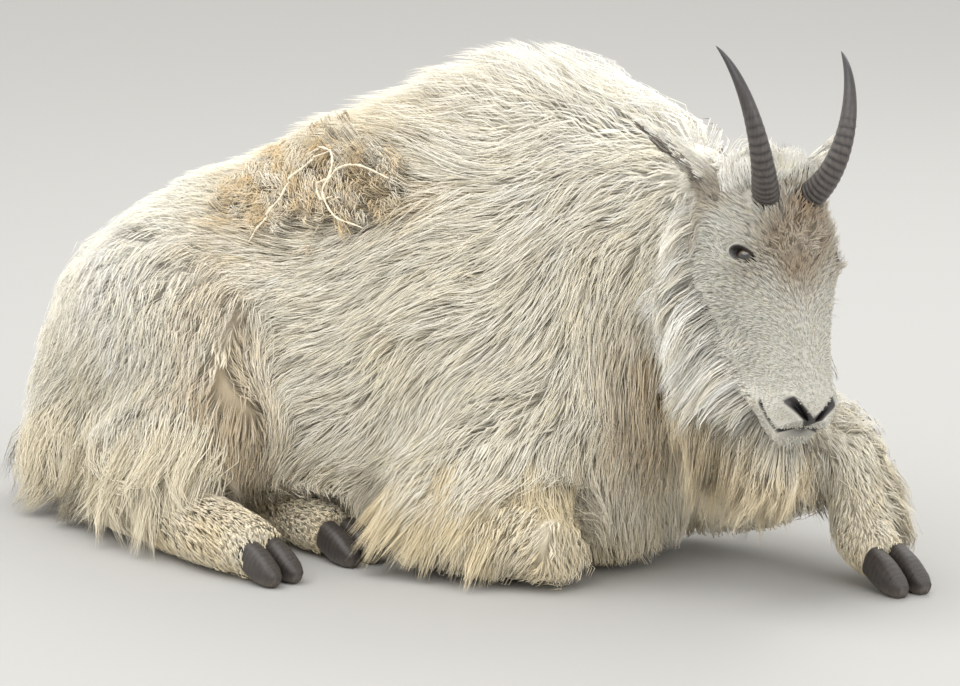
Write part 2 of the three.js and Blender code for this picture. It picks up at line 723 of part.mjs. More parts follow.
// A row of hanging locks along a stretch of a mass and across a fan of angles in degrees, every other one
// a little to the side.
function fringe(mass, seed, options) {
  const { count, shares, angles, jitter = 0, fall, length, width, thick = 10, sway = 24 } = options;
  const draw = dice(seed);
  return Array.from({ length: count }, (_, i) => {
    const s = i / (count - 1);
    const angle = lerp(...angles, s) + jitter * (i % 2 ? 1 : -1);
    const root = mass.surface(lerp(...shares, s), degrees(angle));
    const spine = hung(root, { fall, length: lerp(...length, s), sway, steps: LOCK.steps }, draw);
    return { spine, width: width * lerp(0.85, 1.15, draw()), thick };
  });
}

const beard = () => [
  ...fringe(head, 11, {
    count: 4, shares: [0.36, 0.97], angles: [-128, -106], jitter: 6,
    fall: fallTo(-0.12, 0.02, -1), length: [205, 110], width: 50,
  }),
  ...fringe(head, 12, {
    count: 3, shares: [0.4, 0.88], angles: [-56, -76], jitter: 6,
    fall: fallTo(-0.1, 0.06, -1), length: [175, 105], width: 50,
  }),
  ...fringe(head, 14, {
    count: 3, shares: [0.5, 0.86], angles: [-90, -90],
    fall: fallTo(-0.2, 0.04, -1), length: [150, 115], width: 54,
  }),
];
const onCheek = (p) => {
  const q = inHead(p);
  return q.f > 20 && q.f < 170 && q.u < 5;
};
const cheeks = () => coat([head], 13, {
  spacing: 92, lie: fallTo(-0.5, 0, -1), length: 66, width: 42, thick: 8, sway: 14, allowed: onCheek,
});

const COLOURS = {
  horn: 0x3a3532, eye: 0x1c1410, ear: 0xd8ccb8, hoof: 0x5a5048, face: 0xe8e2d4, leg: 0xe0d4b8,
};
const pair = (name, colour, form) => [RIGHT, LEFT].map((side) => ({
  name: `${name}_${side === RIGHT ? "right" : "left"}`, colour, form: (margin) => form(side, margin),
}));

// Each part gives way to the ones before it, and keeps a fine gap from them.
const PARTS = [
  ...pair("horn", COLOURS.horn, horn),
  ...pair("eye", COLOURS.eye, eye),
  ...pair("ear", COLOURS.ear, ear),
  ...Object.entries(HOOVES).flatMap(([foot, hoof]) => [-1, 1].map((side) => ({
    name: `hoof_${foot}_${side < 0 ? "outer" : "inner"}`,
    colour: COLOURS.hoof,
    form: (margin) => claw(hoof, side, margin),
  }))),
  {
    name: "head", colour: COLOURS.face, masses: [head],
    locks: () => [...beard(), ...cheeks()],
    also: (margin) => [lids(RIGHT, margin), lids(LEFT, margin)],
    hollows: () => [nostril(RIGHT), nostril(LEFT), mouth()],
  },
  { name: "cannon_front_right", colour: COLOURS.leg, masses: [cannonRight] },
  {
    name: "cannon_front_left", colour: COLOURS.leg, masses: [cannonLeft],
    locks: () => coat([cannonLeft], 21, {
      spacing: 74, lie: fallTo(0.25, 0.2, -1), length: 75, width: 34, thick: 9, allowed: (p) => p.z > 60,
    }),
  },
  {
    name: "foot_hind_right", colour: COLOURS.leg, masses: [footRight],
    locks: () => coat([footRight], 22, {
      spacing: 74, lie: fallTo(0.6, -0.3, -1), length: 70, width: 36, thick: 9, allowed: (p) => p.x < -300,
    }),
  },
  { name: "foot_hind_left", colour: COLOURS.leg, masses: [footLeft] },
  {
    name: "torso", colour: 0xece6d6, masses: [trunk],
    locks: () => [
      ...coat([trunk], 31, { spacing: 93, lie: sweep(0.75, 0.15), length: 165, width: 90, thick: 15 }),
      ...fringe(trunk, 30, {
        count: 8, shares: [0.46, 0.99], angles: [90, 90], jitter: 14,
        fall: fallTo(-0.85, 0, 0.36), length: [100, 92], width: 82,
      }),
    ],
  },
  {
    name: "neck", colour: 0xeae2cc, masses: [neck],
    locks: () => [
      ...coat([neck], 32, { spacing: 78, lie: sweep(1.1, 0.2), length: 145, width: 74 }),
      ...fringe(neck, 41, {
        count: 5, shares: [0.1, 0.9], angles: [90, 90], jitter: 16,
        fall: fallTo(-0.7, 0, 0.62), length: [95, 75], width: 62,
      }),
    ],
  },
  {
    name: "upper_arm_right", colour: COLOURS.leg, masses: [armRight],
    locks: () => coat([armRight], 33, {
      spacing: 82, lie: fallTo(-0.7, -0.2, -1), length: 120, width: 70,
    }),
  },
  {
    name: "forearm_right", colour: COLOURS.leg, masses: [forearmRight],
    locks: () => [
      ...coat([forearmRight], 42, { spacing: 104, lie: fallTo(-0.7, -0.2, -1), length: 100, width: 62 }),
      ...fringe(forearmRight, 34, {
        count: 5, shares: [-0.3, 0.6], angles: [170, 205], jitter: 8,
        fall: fallTo(-0.25, -0.55, -1), length: [85, 85], width: 44,
      }),
    ],
  },
  {
    name: "forearm_left", colour: COLOURS.leg, masses: [forearmLeft],
    locks: () => [
      ...coat([forearmLeft], 35, { spacing: 92, lie: fallTo(0.1, 0.3, -1), length: 110, width: 56 }),
      ...fringe(forearmLeft, 36, {
        count: 4, shares: [0.45, 1.1], angles: [-20, 10], jitter: 12,
        fall: fallTo(0.25, 0.5, -1), length: [95, 95], width: 44,
      }),
    ],
  },
  {
    name: "thigh_right", colour: COLOURS.leg, masses: [thighRight, breech],
    locks: () => coat([thighRight, breech], 37, {
      spacing: 88, lie: fallTo(-0.15, -0.1, -1), length: 140, width: 84,
    }),
  },
  {
    name: "shank_right", colour: COLOURS.leg, masses: [shankRight],
    locks: () => [
      ...coat([shankRight], 43, { spacing: 104, lie: fallTo(-0.15, -0.1, -1), length: 110, width: 70 }),
      ...fringe(shankRight, 38, {
        count: 4, shares: [0.45, 1.1], angles: [180, 200], jitter: 10,
        fall: fallTo(0.1, -0.35, -1), length: [75, 75], width: 46,
      }),
    ],
  },
  {
    name: "thigh_left", colour: COLOURS.leg, masses: [thighLeft],
    locks: () => coat([thighLeft], 39, { spacing: 92, lie: fallTo(-0.3, 0.1, -1), length: 125, width: 72 }),
  },
  {
    name: "tail", colour: COLOURS.leg, masses: [tail],
    locks: () => coat([tail], 40, {
      spacing: 56, lie: fallTo(-0.25, -0.1, -1), length: 95, width: 44, thick: 10,
    }),
  },
];

const FLOOR = solidFrom(new THREE.BoxGeometry(3000, 3000, 400).translate(0, 0, -200));

const goat = new THREE.Group();
let taken = null;
for (const { name, colour, masses, form, locks = () => [], also = () => [], hollows } of PARTS) {
  const hair = locks()
    .map((h) => ({ ...h, width: fitting(h) }))
    .filter((h) => h.width > 0);
  const whole = (margin) => form ? form(margin) : Solid.union([
    ...masses.map((m) => m.solid(margin)),
    ...also(margin),
    ...hair.map((h) => lock(h, h.width, margin)),
  ]);
  let made = whole(0).subtract(FLOOR);
  if (taken) made = made.subtract(taken);
  if (hollows) made = made.subtract(Solid.union(hollows()));
  const shell = whole(PART_GAP);
  taken = taken ? taken.add(shell) : shell;
  const body = made.decompose().sort((a, b) => b.volume() - a.volume())[0];
  const { vertProperties, triVerts } = body.getMesh();
  const geometry = new THREE.BufferGeometry();
  geometry.setAttribute("position", new THREE.BufferAttribute(new Float32Array(vertProperties), 3));
  geometry.setIndex(new THREE.BufferAttribute(new Uint32Array(triVerts), 1));
  const mesh = new THREE.Mesh(geometry, new THREE.MeshStandardMaterial({ color: colour, roughness: 0.9 }));
  mesh.name = name;
  goat.add(mesh);
}

export default goat;
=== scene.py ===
import math

import bpy
import numpy as np
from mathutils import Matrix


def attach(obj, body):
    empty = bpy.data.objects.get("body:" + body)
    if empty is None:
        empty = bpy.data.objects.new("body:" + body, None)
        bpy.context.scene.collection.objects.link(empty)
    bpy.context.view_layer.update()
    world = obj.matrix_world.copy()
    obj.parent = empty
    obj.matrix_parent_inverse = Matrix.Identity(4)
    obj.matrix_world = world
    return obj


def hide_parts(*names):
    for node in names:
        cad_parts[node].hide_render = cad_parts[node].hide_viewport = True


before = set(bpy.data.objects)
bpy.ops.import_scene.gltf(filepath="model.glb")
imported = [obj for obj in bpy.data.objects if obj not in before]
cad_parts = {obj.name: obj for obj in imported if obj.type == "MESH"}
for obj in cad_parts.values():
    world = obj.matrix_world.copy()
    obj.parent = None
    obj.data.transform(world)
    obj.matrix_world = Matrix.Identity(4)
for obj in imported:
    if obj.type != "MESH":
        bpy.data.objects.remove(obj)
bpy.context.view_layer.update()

import openvdb
from mathutils import Vector


# The studio: a camera on a long lens, one broad soft light over the animal's right shoulder, a weak fill
# from the left and a pale, even surround. The floor is a plain pale sheet.
AZIMUTH, ELEVATION, DISTANCE = math.radians(35), math.radians(12), 7.0
AIM = Vector((-0.123, -0.086, 0.277))


def direction(azimuth, elevation):
    """The way from the object to a viewer: azimuth 0 looks along +Y, and elevation is above the horizon."""
    return Vector((
        math.sin(azimuth) * math.cos(elevation), -math.cos(azimuth) * math.cos(elevation), math.sin(elevation),
    ))


def aimed(thing, place, target):
    """Sets an object at a place with its -Z towards a target."""
    thing.location = place
    thing.rotation_mode = "QUATERNION"
    thing.rotation_quaternion = (target - place).to_track_quat("-Z", "Y")
    bpy.context.scene.collection.objects.link(thing)
    return thing


lens = bpy.data.cameras.new("camera")
lens.lens = 210
lens.sensor_width = 36
lens.clip_end = 100
camera = aimed(bpy.data.objects.new("camera", lens), AIM + DISTANCE * direction(AZIMUTH, ELEVATION), AIM)
bpy.context.scene.camera = camera

for name, azimuth, elevation, away, size, power in (
    ("overhead_softbox", -15, 64, 3.6, 3.8, 74),
    ("side_softbox", 80, 30, 3.8, 2.4, 26),
    ("rear_softbox", 190, 45, 3.6, 2.2, 30),
):
    light = bpy.data.lights.new(name, "AREA")
    light.shape = "DISK"
    light.size = size
    light.energy = power
    aimed(bpy.data.objects.new(name, light),
          AIM + away * direction(math.radians(azimuth), math.radians(elevation)), AIM)

surround = bpy.data.worlds.new("surround")
surround.use_nodes = True
surround.node_tree.nodes["Background"].inputs["Color"].default_value = (1.0, 0.99, 0.97, 1)
surround.node_tree.nodes["Background"].inputs["Strength"].default_value = 1.15
bpy.context.scene.world = surround
bpy.context.scene.view_settings.view_transform = "Standard"

sheet = bpy.data.meshes.new("floor")
sheet.from_pydata([(-30, -30, 0), (30, -30, 0), (30, 30, 0), (-30, 30, 0)], [], [(0, 1, 2, 3)])
floor = bpy.data.objects.new("floor", sheet)
bpy.context.scene.collection.objects.link(floor)
pale = bpy.data.materials.new("pale_floor")
pale.use_nodes = True
pale.node_tree.nodes["Principled BSDF"].inputs["Base Color"].default_value = (0.46, 0.455, 0.44, 1)
pale.node_tree.nodes["Principled BSDF"].inputs["Roughness"].default_value = 0.85
sheet.materials.append(pale)


# The body under its coat: flesh and skin of trunk, neck, tail and legs. Each is a rounded form carried along
# a smooth path, and together they are made into one skin that fills the creases between them.
MASSES = {  # a station in mm: x, y, z, half width, reach above, below; depth of coat at the sides, above, below
    "trunk": dict(square=2.15, round=0.45, facing=(1, 0, 0), stations=(
        (-725, -35, 205, 90, 92, 120, 45, 42, 50),
        (-650, -30, 225, 135, 142, 180, 45, 42, 35),
        (-550, -20, 240, 160, 184, 225, 45, 42, 20),
        (-430, -10, 250, 172, 210, 248, 45, 42, 12),
        (-300, -5, 258, 180, 242, 262, 50, 70, 12),
        (-160, 0, 264, 172, 295, 270, 50, 80, 12),
        (-50, 0, 266, 148, 305, 272, 55, 85, 12),
        (30, 0, 270, 112, 270, 262, 55, 85, 20),
        (78, -10, 290, 70, 190, 165, 55, 80, 55))),
    "neck": dict(round=0.4, stations=(
        (-30, 0, 385, 100, 140, 170, 55, 90, 60),
        (65, -4, 425, 86, 138, 165, 50, 90, 70),
        (140, -12, 460, 62, 104, 125, 42, 76, 70),
        (195, -24, 490, 44, 60, 85, 35, 60, 60))),
    "tail": dict(stations=(
        (-740, -40, 298, 26, 22, 20, 30, 30, 25),
        (-772, -46, 248, 24, 18, 16, 35, 35, 30),
        (-792, -52, 188, 16, 12, 12, 35, 35, 30))),
    "arm_right": dict(up=(1, 0, 0.6), stations=(
        (8, -74, 240, 55, 60, 85, 50, 50, 50),
        (-60, -113, 165, 52, 62, 75, 50, 50, 50),
        (-130, -158, 95, 40, 45, 48, 50, 40, 30))),
    "forearm_right": dict(stations=(
        (-135, -160, 84, 40, 45, 42, 50, 40, 30),
        (-40, -166, 76, 36, 38, 42, 45, 35, 25),
        (52, -166, 64, 31, 32, 40, 16, 14, 14))),
    "cannon_right": dict(stations=(
        (42, -150, 42, 24, 26, 26, 12, 12, 8),
        (-20, -120, 32, 20, 20, 22, 12, 12, 8),
        (-85, -95, 30, 24, 22, 24, 14, 14, 8),
        (-125, -90, 32, 20, 20, 22, 10, 10, 6))),
    "forearm_left": dict(stations=(
        (30, 125, 125, 52, 65, 62, 55, 45, 50),
        (150, 138, 140, 44, 50, 48, 60, 40, 55),
        (272, 132, 165, 35, 36, 34, 35, 18, 30))),
    "cannon_left": dict(stations=(
        (278, 130, 164, 32, 30, 30, 30, 16, 26),
        (310, 113, 108, 24, 23, 24, 26, 14, 22),
        (332, 96, 57, 28, 26, 30, 16, 12, 16),
        (364, 85, 37, 26, 22, 26, 10, 8, 10))),
    "thigh_right": dict(stations=(
        (-656, -95, 222, 82, 104, 120, 45, 40, 45),
        (-585, -130, 240, 85, 132, 140, 45, 40, 45),
        (-480, -165, 240, 72, 110, 115, 45, 40, 40),
        (-400, -190, 235, 50, 72, 72, 40, 35, 40))),
    "shank_right": dict(up=(-1, 0, 1), stations=(
        (-410, -195, 215, 48, 60, 60, 40, 35, 40),
        (-500, -215, 130, 45, 55, 60, 50, 40, 45),
        (-585, -230, 62, 32, 34, 36, 50, 30, 20))),
    "breech": dict(up=(-1, 0, 0.2), stations=(
        (-668, -88, 252, 70, 76, 60, 50, 40, 45),
        (-700, -110, 150, 62, 68, 50, 50, 45, 45),
        (-708, -138, 62, 46, 58, 34, 50, 45, 40))),
    "foot_right": dict(stations=(
        (-585, -232, 54, 32, 36, 40, 26, 24, 14),
        (-480, -268, 44, 29, 30, 34, 26, 24, 10),
        (-360, -312, 42, 33, 32, 38, 20, 20, 6),
        (-285, -330, 38, 28, 26, 34, 10, 10, 4))),
    "thigh_left": dict(stations=(
        (-680, 40, 170, 85, 110, 130, 45, 40, 40),
        (-570, 90, 150, 90, 110, 120, 45, 40, 30),
        (-460, 150, 125, 70, 80, 100, 45, 40, 30),
        (-400, 175, 110, 50, 60, 75, 45, 40, 30))),
    "foot_left": dict(stations=(
        (-520, -90, 45, 28, 30, 34, 18, 16, 12),
        (-420, -125, 36, 24, 24, 28, 16, 14, 10),
        (-325, -168, 34, 28, 26, 30, 14, 14, 8),
        (-280, -185, 32, 26, 22, 26, 10, 10, 8))),
}

# The head turns to the right of the trunk and nods: F runs down the face, U out of the brow, L to the left.
POLL = np.array((0.241, -0.0365, 0.501))
FACING, NOD, ROLL = math.radians(-34), math.radians(50), math.radians(10)
AHEAD = np.array((math.cos(FACING), math.sin(FACING), 0))
DOWN = np.array((0, 0, -1))
F = AHEAD * math.cos(NOD) + DOWN * math.sin(NOD)
U = AHEAD * math.sin(NOD) - DOWN * math.cos(NOD)
U = U * math.cos(ROLL) - np.cross(F, U) * math.sin(ROLL)
L = np.cross(U, F)
HEAD_AXES = np.array((F, L, U))


def on_head(places):
    """Points given as (f, l, u) in the head's own directions, as points of the whole animal."""
    return POLL + np.asarray(places) @ HEAD_AXES


def in_head(points):
    """Points of the whole animal in the head's own directions."""
    return (points - POLL) @ HEAD_AXES.T


HEAD_ROWS = (  # in mm: f, height of the middle, half width, brow line above, jaw line below, depth of the coat
    (-8, 8, 48, 42, 62, 12), (28, 5, 58, 60, 84, 14), (72, 0, 62, 68, 100, 16), (115, -6, 62, 64, 98, 15),
    (160, -10, 53, 54, 82, 12), (210, -16, 43, 47, 68, 8), (258, -22, 38, 41, 56, 6), (290, -25, 35, 36, 48, 4),
    (309, -28, 28, 24, 38, 3),
)
MASSES["head"] = dict(square=2.2, round=0.42, up=tuple(U), stations=tuple(
    (*(1000 * on_head((f / 1000, 0, u / 1000))), wide, above, below, coat, 5, coat)
    for f, u, wide, above, below, coat in HEAD_ROWS))


def through(points, shares):
    """A smooth curve through points. Between two of them it is the cubic whose slopes weigh the neighbours
    by the square root of their distance, and the ends run on as the mirror of the next point."""
    points = np.asarray(points, float)
    row = np.vstack((2 * points[0] - points[1], points, 2 * points[-1] - points[-2]))
    last = len(points) - 1
    at = np.clip(shares, 0, 1) * last
    i = np.minimum(at.astype(int), last - 1)
    w = (at - i)[:, None]
    a, b, c, d = row[i], row[i + 1], row[i + 2], row[i + 3]
    ab, bc, cd = (np.sqrt(np.linalg.norm(q - p, axis=1))[:, None] for p, q in ((a, b), (b, c), (c, d)))
    start = ((b - a) / ab - (c - a) / (ab + bc) + (c - b) / bc) * bc
    end = ((c - b) / bc - (d - b) / (bc + cd) + (d - c) / cd) * bc
    return b + w * (start + w * (3 * (c - b) - 2 * start - end + w * (2 * (b - c) + start + end)))


def unit(v):
    """Vectors made one long."""
    return v / np.maximum(np.linalg.norm(v, axis=-1, keepdims=True), 1e-12)


def sections(mass, shares):
    """The middle, the directions (along, side, rise) and the six measures of a mass at shares of its path."""
    stations = np.array(mass["stations"], float) / 1000
    middle = through(stations[:, :3], shares)
    if "facing" in mass:
        along = np.broadcast_to(np.array(mass["facing"], float), middle.shape)
    else:
        along = unit(through(stations[:, :3], np.minimum(shares + 1e-4, 1))
                     - through(stations[:, :3], np.maximum(shares - 1e-4, 0)))
    side = unit(np.cross(np.array(mass.get("up", (0, 0, 1)), float), along))
    rise = np.cross(along, side)
    steps = 0.1 * np.arange(len(stations))
    measures = [through(np.column_stack((steps, stations[:, k])), shares)[:, 1] for k in range(3, 9)]
    return middle, along, side, rise, np.array(measures)


def shell(mass, shares, angles, grow=0.0):
    """The surface of a mass on a grid of shares of its path and angles round it, 0 on its left and a quarter
    turn on top. Shares run from -1 to 2: past either end the section shrinks as on an ellipse. Across and up
    follow a superellipse, the cosine and sine each to the power 2 / square."""
    middle, along, side, rise, (wide, above, below, *_) = sections(mass, shares)
    past = np.where(shares < 0, -shares, np.maximum(0, shares - 1))
    shrink = np.sqrt(np.maximum(0, 1 - past ** 2))
    cap = mass.get("round", 0.5) * np.minimum(wide, above + below) + grow
    c, s = np.cos(angles)[None, :], np.sin(angles)[None, :]
    power = 2 / mass.get("square", 2)
    across = np.sign(c) * np.abs(c) ** power * ((wide + grow) * shrink)[:, None]
    reach = np.where(s > 0, above[:, None], below[:, None]) + grow
    upwards = np.sign(s) * np.abs(s) ** power * reach * shrink[:, None]
    centre = middle + along * (np.sign(shares - 0.5) * past * cap)[:, None]
    return centre[:, None] + across[..., None] * side[:, None] + upwards[..., None] * rise[:, None]


def row_shares(rows, ends):
    """Shares for the rows of a shell: both ends rounded off in `ends` rows, `rows` between them."""
    bend = np.sin(np.linspace(0, math.pi / 2, ends + 1))[1:]
    return np.concatenate((-bend[::-1], np.linspace(0, 1, rows), 1 + bend))


def ring_of(count):
    """Evenly spaced angles round a full turn."""
    return np.linspace(0, 2 * math.pi, count + 1)[:-1]


def faces_of(rows, around):
    """The quads of a grid that closes on itself in its second direction."""
    r, k = np.meshgrid(np.arange(rows - 1), np.arange(around), indexing="ij")
    n = (k + 1) % around
    here, beyond = r * around, (r + 1) * around
    return np.stack((here + k, here + n, beyond + n, beyond + k), -1).reshape(-1, 4)


CELL = 0.008  # the region is a block of cells, each with its distance from the skin, negative inside
LOW = np.array((-0.94, -0.46, -0.10))  # the block's lowest corner
COUNT = np.array((182, 104, 112))
REACH = 22  # cells on either side of the skin in which the distance is known
FLOOR_GAP = 0.003  # no hair and no skin comes lower than this


def distance_block(points, quads):
    """The distance from a closed surface in every cell of the block."""
    level = openvdb.FloatGrid.createLevelSetFromPolygons(
        np.ascontiguousarray(points - LOW, np.float32), quads=np.ascontiguousarray(quads, np.uint32),
        transform=openvdb.createLinearTransform(voxelSize=CELL), halfWidth=REACH)
    block = np.empty(tuple(COUNT), np.float32)
    level.copyToArray(block, ijk=(0, 0, 0))
    return block


def softly_joined(blocks, softness):
    """The least of several distances, rounded off where two are alike: -k log of the sum of exp(-d / k)."""
    least = np.minimum.reduce(blocks)
    total = sum(np.exp(np.maximum((least - block) / softness, -30)) for block in blocks)
    return least - softness * np.log(total)


angles = ring_of(48)
rows = row_shares(60, 10)
distances = {
    name: distance_block(shell(mass, rows, angles).reshape(-1, 3), faces_of(len(rows), len(angles)))
    for name, mass in MASSES.items()
}
SKIN_SOFT = 0.011  # how widely the masses run into one another in the skin
HEAD_SUNK = 0.012  # how far the coarse head lies under the fine one
flesh = softly_joined([block for name, block in distances.items() if name != "head"]
                      + [distances["head"] + HEAD_SUNK], SKIN_SOFT)
level = openvdb.FloatGrid()
level.copyFromArray(flesh.astype(np.float32))
skin_points, skin_quads = level.convertToQuads(isovalue=0)
skin_points = skin_points * CELL + LOW
skin_quads = skin_quads.astype(int)
skin_points[:, 2] = np.maximum(skin_points[:, 2], FLOOR_GAP)


# The head: skull, brow, cheeks, muzzle, lids, nostrils and lips in one skin with the body. Bumps and hollows
# are bell-shaped, and the lids, the nostrils and the mouth are cut along their own lines.
EYE = dict(f=0.113, out=0.057, u=0.034, radius=0.019, sunk=0.0092, slit=0.0138, upper=0.0068, lower=0.0060)


def rise_from(x, low, high):
    """From 0 to 1 between low and high, smoothly."""
    t = np.clip((x - low) / (high - low), 0, 1)
    return t * t * (3 - 2 * t)


def bell(q, f, l, u, wide_f, wide_l, wide_u, height):
    """A bell-shaped swelling, alike on both sides of the head: height exp(-(distance / width) squared)."""
    return height * np.exp(-(((q[..., 0] - f) / wide_f) ** 2 + ((np.abs(q[..., 1]) - l) / wide_l) ** 2
                             + ((q[..., 2] - u) / wide_u) ** 2))


def eye_axes(side):
    """The eye's own directions: along its slit, from the lower lid to the upper, and out of the eye."""
    slit = unit(np.array((0.87, -0.3 * side, 0.38)))
    out = np.array((0, side, 0.5))
    out = unit(out - slit * (out @ slit))
    over = np.cross(out, slit)
    return slit, over * np.sign(over[2]), out


def around_eye(q, side):
    """Where a place on the head lies round the eye: below 1 inside the almond between the lids, then how far
    it lies along and over the slit."""
    slit, over, out = eye_axes(side)
    offset = q - np.array((EYE["f"], side * EYE["out"], EYE["u"]))
    x, y = offset @ slit / EYE["slit"], offset @ over
    lid = np.where(y > 0, EYE["upper"], EYE["lower"])
    almond = np.sqrt(np.abs(x) ** 2.4 + (np.abs(y) / lid) ** 2)
    beyond = np.where(np.sign(q[..., 1]) == side, 0, 9)
    return almond + beyond, x, y + beyond


def mouth_line(f):
    """Where the lips meet on the side of the muzzle: u against f."""
    return np.interp(f, (0.262, 0.272, 0.286, 0.300, 0.312, 0.320),
                     (-0.040, -0.0425, -0.043, -0.041, -0.037, -0.0335))


def by_nostril(q):
    """How far a place lies along a nostril's slit, outwards, and across it, downwards: the offset from the
    slit's middle, turned by 42 degrees on the slanting front of the nose."""
    l, down_pad = np.abs(q[..., 1]) - 0.0165, 0.7 * (q[..., 0] - q[..., 2]) - 0.2128
    return 0.745 * l - 0.667 * down_pad, 0.667 * l + 0.745 * down_pad


def nostril(q):
    """How deep in a nostril a place lies: 1 in the middle of a slit that runs forwards, down and inwards to the
    groove over the lip, and that is widest at its outer end."""
    x, y = by_nostril(q)
    wide = 0.0034 + 0.0012 * np.clip(x / 0.012, -1, 1)
    return np.exp(-(x / 0.0155) ** 4 - (y / wide) ** 2) * rise_from(q[..., 2], -0.026, -0.018)


def face_relief(q):
    """How far the face stands proud of the head's plain form."""
    f, l, u = q[..., 0], q[..., 1], q[..., 2]
    height = (
        bell(q, 0.092, 0.050, 0.054, 0.018, 0.016, 0.013, 0.007)  # brow over the eye
        + bell(q, 0.140, 0.056, 0.004, 0.034, 0.030, 0.016, 0.004)  # cheek bone
        + bell(q, 0.178, 0.042, -0.020, 0.040, 0.026, 0.020, -0.004)  # hollow under it
        + bell(q, 0.150, 0, 0.060, 0.034, 0.020, 0.020, 0.003)  # forehead
        + bell(q, 0.235, 0, 0.040, 0.046, 0.014, 0.018, 0.003)  # bridge of the nose
        + bell(q, 0.056, 0.034, 0.066, 0.024, 0.020, 0.022, 0.007)  # ring round the horn
        + bell(q, 0.294, 0.029, -0.001, 0.014, 0.009, 0.013, 0.006)  # wing of the nostril
        + bell(q, 0.296, 0.024, -0.030, 0.028, 0.018, 0.009, 0.0045)  # upper lip
        + bell(q, 0.314, 0, -0.062, 0.024, 0.024, 0.015, 0.010)  # chin
        + bell(q, 0.316, 0, -0.020, 0.014, 0.0025, 0.014, -0.003)  # groove under the nose
    )
    within = 1 / (1 + np.exp(-(f - 0.268) / 0.004))
    height = height - 0.0085 * within * np.exp(-((u - mouth_line(f)) / 0.0038) ** 2) - 0.011 * nostril(q)
    for side in (-1, 1):
        r, x, y = around_eye(q, side)
        swelling = 0.0115 * np.exp(-((x / 1.75) ** 2 + (y / 0.018) ** 2) ** 1.2)
        rim = 0.0026 * np.exp(-((r - 1.22) / 0.2) ** 2)
        crease = -0.0022 * np.exp(-((r - 1.85) / 0.18) ** 2) * (y > 0)
        height = height + swelling + rim + crease - 0.0095 * rise_from(r, 1.12, 0.88)
    return height


head_rows = np.concatenate((  # closest round the eyes and on the muzzle
    -np.sin(np.linspace(math.pi / 2, 0, 12)[:-1]), np.linspace(0, 0.26, 26)[:-1],
    np.linspace(0.26, 0.56, 66)[:-1], np.linspace(0.56, 0.80, 34)[:-1], np.linspace(0.80, 1, 56)[:-1],
    1 + np.sin(np.linspace(0, math.pi / 2, 32))))
head_around = ring_of(224)
head_grid = shell(MASSES["head"], head_rows, head_around)
centre, *_, head_measures = sections(MASSES["head"], head_rows)
centre = centre[:, None]
plain = in_head(head_grid)
padding = 0.65 * head_measures[3][:, None] * (1 - np.clip(np.sin(head_around), 0, 1) ** 2)  # close wool
padding = padding + bell(plain, 0.195, 0.040, -0.055, 0.060, 0.030, 0.030, 0.013)  # more of it on the jaw
head_grid = head_grid + unit(head_grid - centre) * (face_relief(plain) + padding)[..., None]
head_grid = head_grid + F * bell(plain, 0.312, 0, -0.064, 0.034, 0.032, 0.020, 0.012)[..., None]  # lower lip
plain = plain.reshape(-1, 3)


# The ears: long leaves of gristle and skin, thick at the root and bowed into a cup that opens outwards and
# down. They grow out of the head and are part of its skin.
EAR = dict(f=0.022, out=0.054, u=0.012, length=0.142, sunk=0.012, wide=0.026, thick=0.010, wall=0.0018)


def ear_grid(side, rows=64, around=72):
    """An ear as a closed leaf. Its width is 0.8 (1 - t)^0.55 (1 + 1.3 t (1 - t)) of the widest, and beyond its
    root it bends back from its edges by 0.8 of its width times 1 - c squared."""
    root = on_head((EAR["f"], side * EAR["out"], EAR["u"]))
    axis = unit(0.69 * side * L - 0.6 * DOWN - 0.3 * AHEAD)
    opening = side * L + 1.1 * DOWN - 0.05 * AHEAD
    opening = unit(opening - axis * (opening @ axis))
    wide = np.cross(axis, opening)
    t = 1 - (1 - np.linspace(0, 1, rows)) ** 1.6
    width = EAR["wide"] * 0.8 * (1 - t) ** 0.55 * (1 + 1.3 * t * (1 - t))
    k = np.clip((t - 0.1) / 0.3, 0, 1)
    cup = k * k * (3 - 2 * k)
    half = (EAR["thick"] + (EAR["wall"] - EAR["thick"]) * cup) * (1 - t) ** 0.4
    turn = ring_of(around)
    c, s = np.cos(turn), np.sin(turn)
    bow = s[None] * half[:, None] - (0.8 * cup * width)[:, None] * (1 - c ** 2)[None]
    along = -EAR["sunk"] + (EAR["length"] + EAR["sunk"]) * t
    grid = (root + along[:, None, None] * axis + (width[:, None] * c)[..., None] * wide
            + bow[..., None] * opening)
    return grid, t, c, s, axis, opening


# The hide: the skin of body, head and ears in one piece without a seam, dull under its hair and smooth where
#  it is bare. Its colours follow the coat's markings, so that hair and skin agree everywhere, darkened as
#  painted shade of the hair over it.
def piece(name, points, faces, normals=None):
    """A mesh object from points and faces, at the origin and riding on the animal's one body."""
    mesh = bpy.data.meshes.new(name)
    mesh.vertices.add(len(points))
    mesh.vertices.foreach_set("co", np.ascontiguousarray(points, np.float32).ravel())
    mesh.loops.add(faces.size)
    mesh.loops.foreach_set("vertex_index", faces.astype(np.int32).ravel())
    mesh.polygons.add(len(faces))
    mesh.polygons.foreach_set("loop_start", np.arange(0, faces.size, faces.shape[1], dtype=np.int32))
    mesh.update(calc_edges=True)
    mesh.polygons.foreach_set("use_smooth", np.ones(len(mesh.polygons), bool))
    if normals is not None:
        mesh.normals_split_custom_set_from_vertices(np.ascontiguousarray(normals, np.float32))
    thing = bpy.data.objects.new(name, mesh)
    bpy.context.scene.collection.objects.link(thing)
    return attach(thing, "root")


def closed(grid, order=1):
    """The points and faces of a grid that closes on itself in its second direction; order -1 turns the faces
    over."""
    return grid.reshape(-1, 3), faces_of(*grid.shape[:2])[:, ::order]


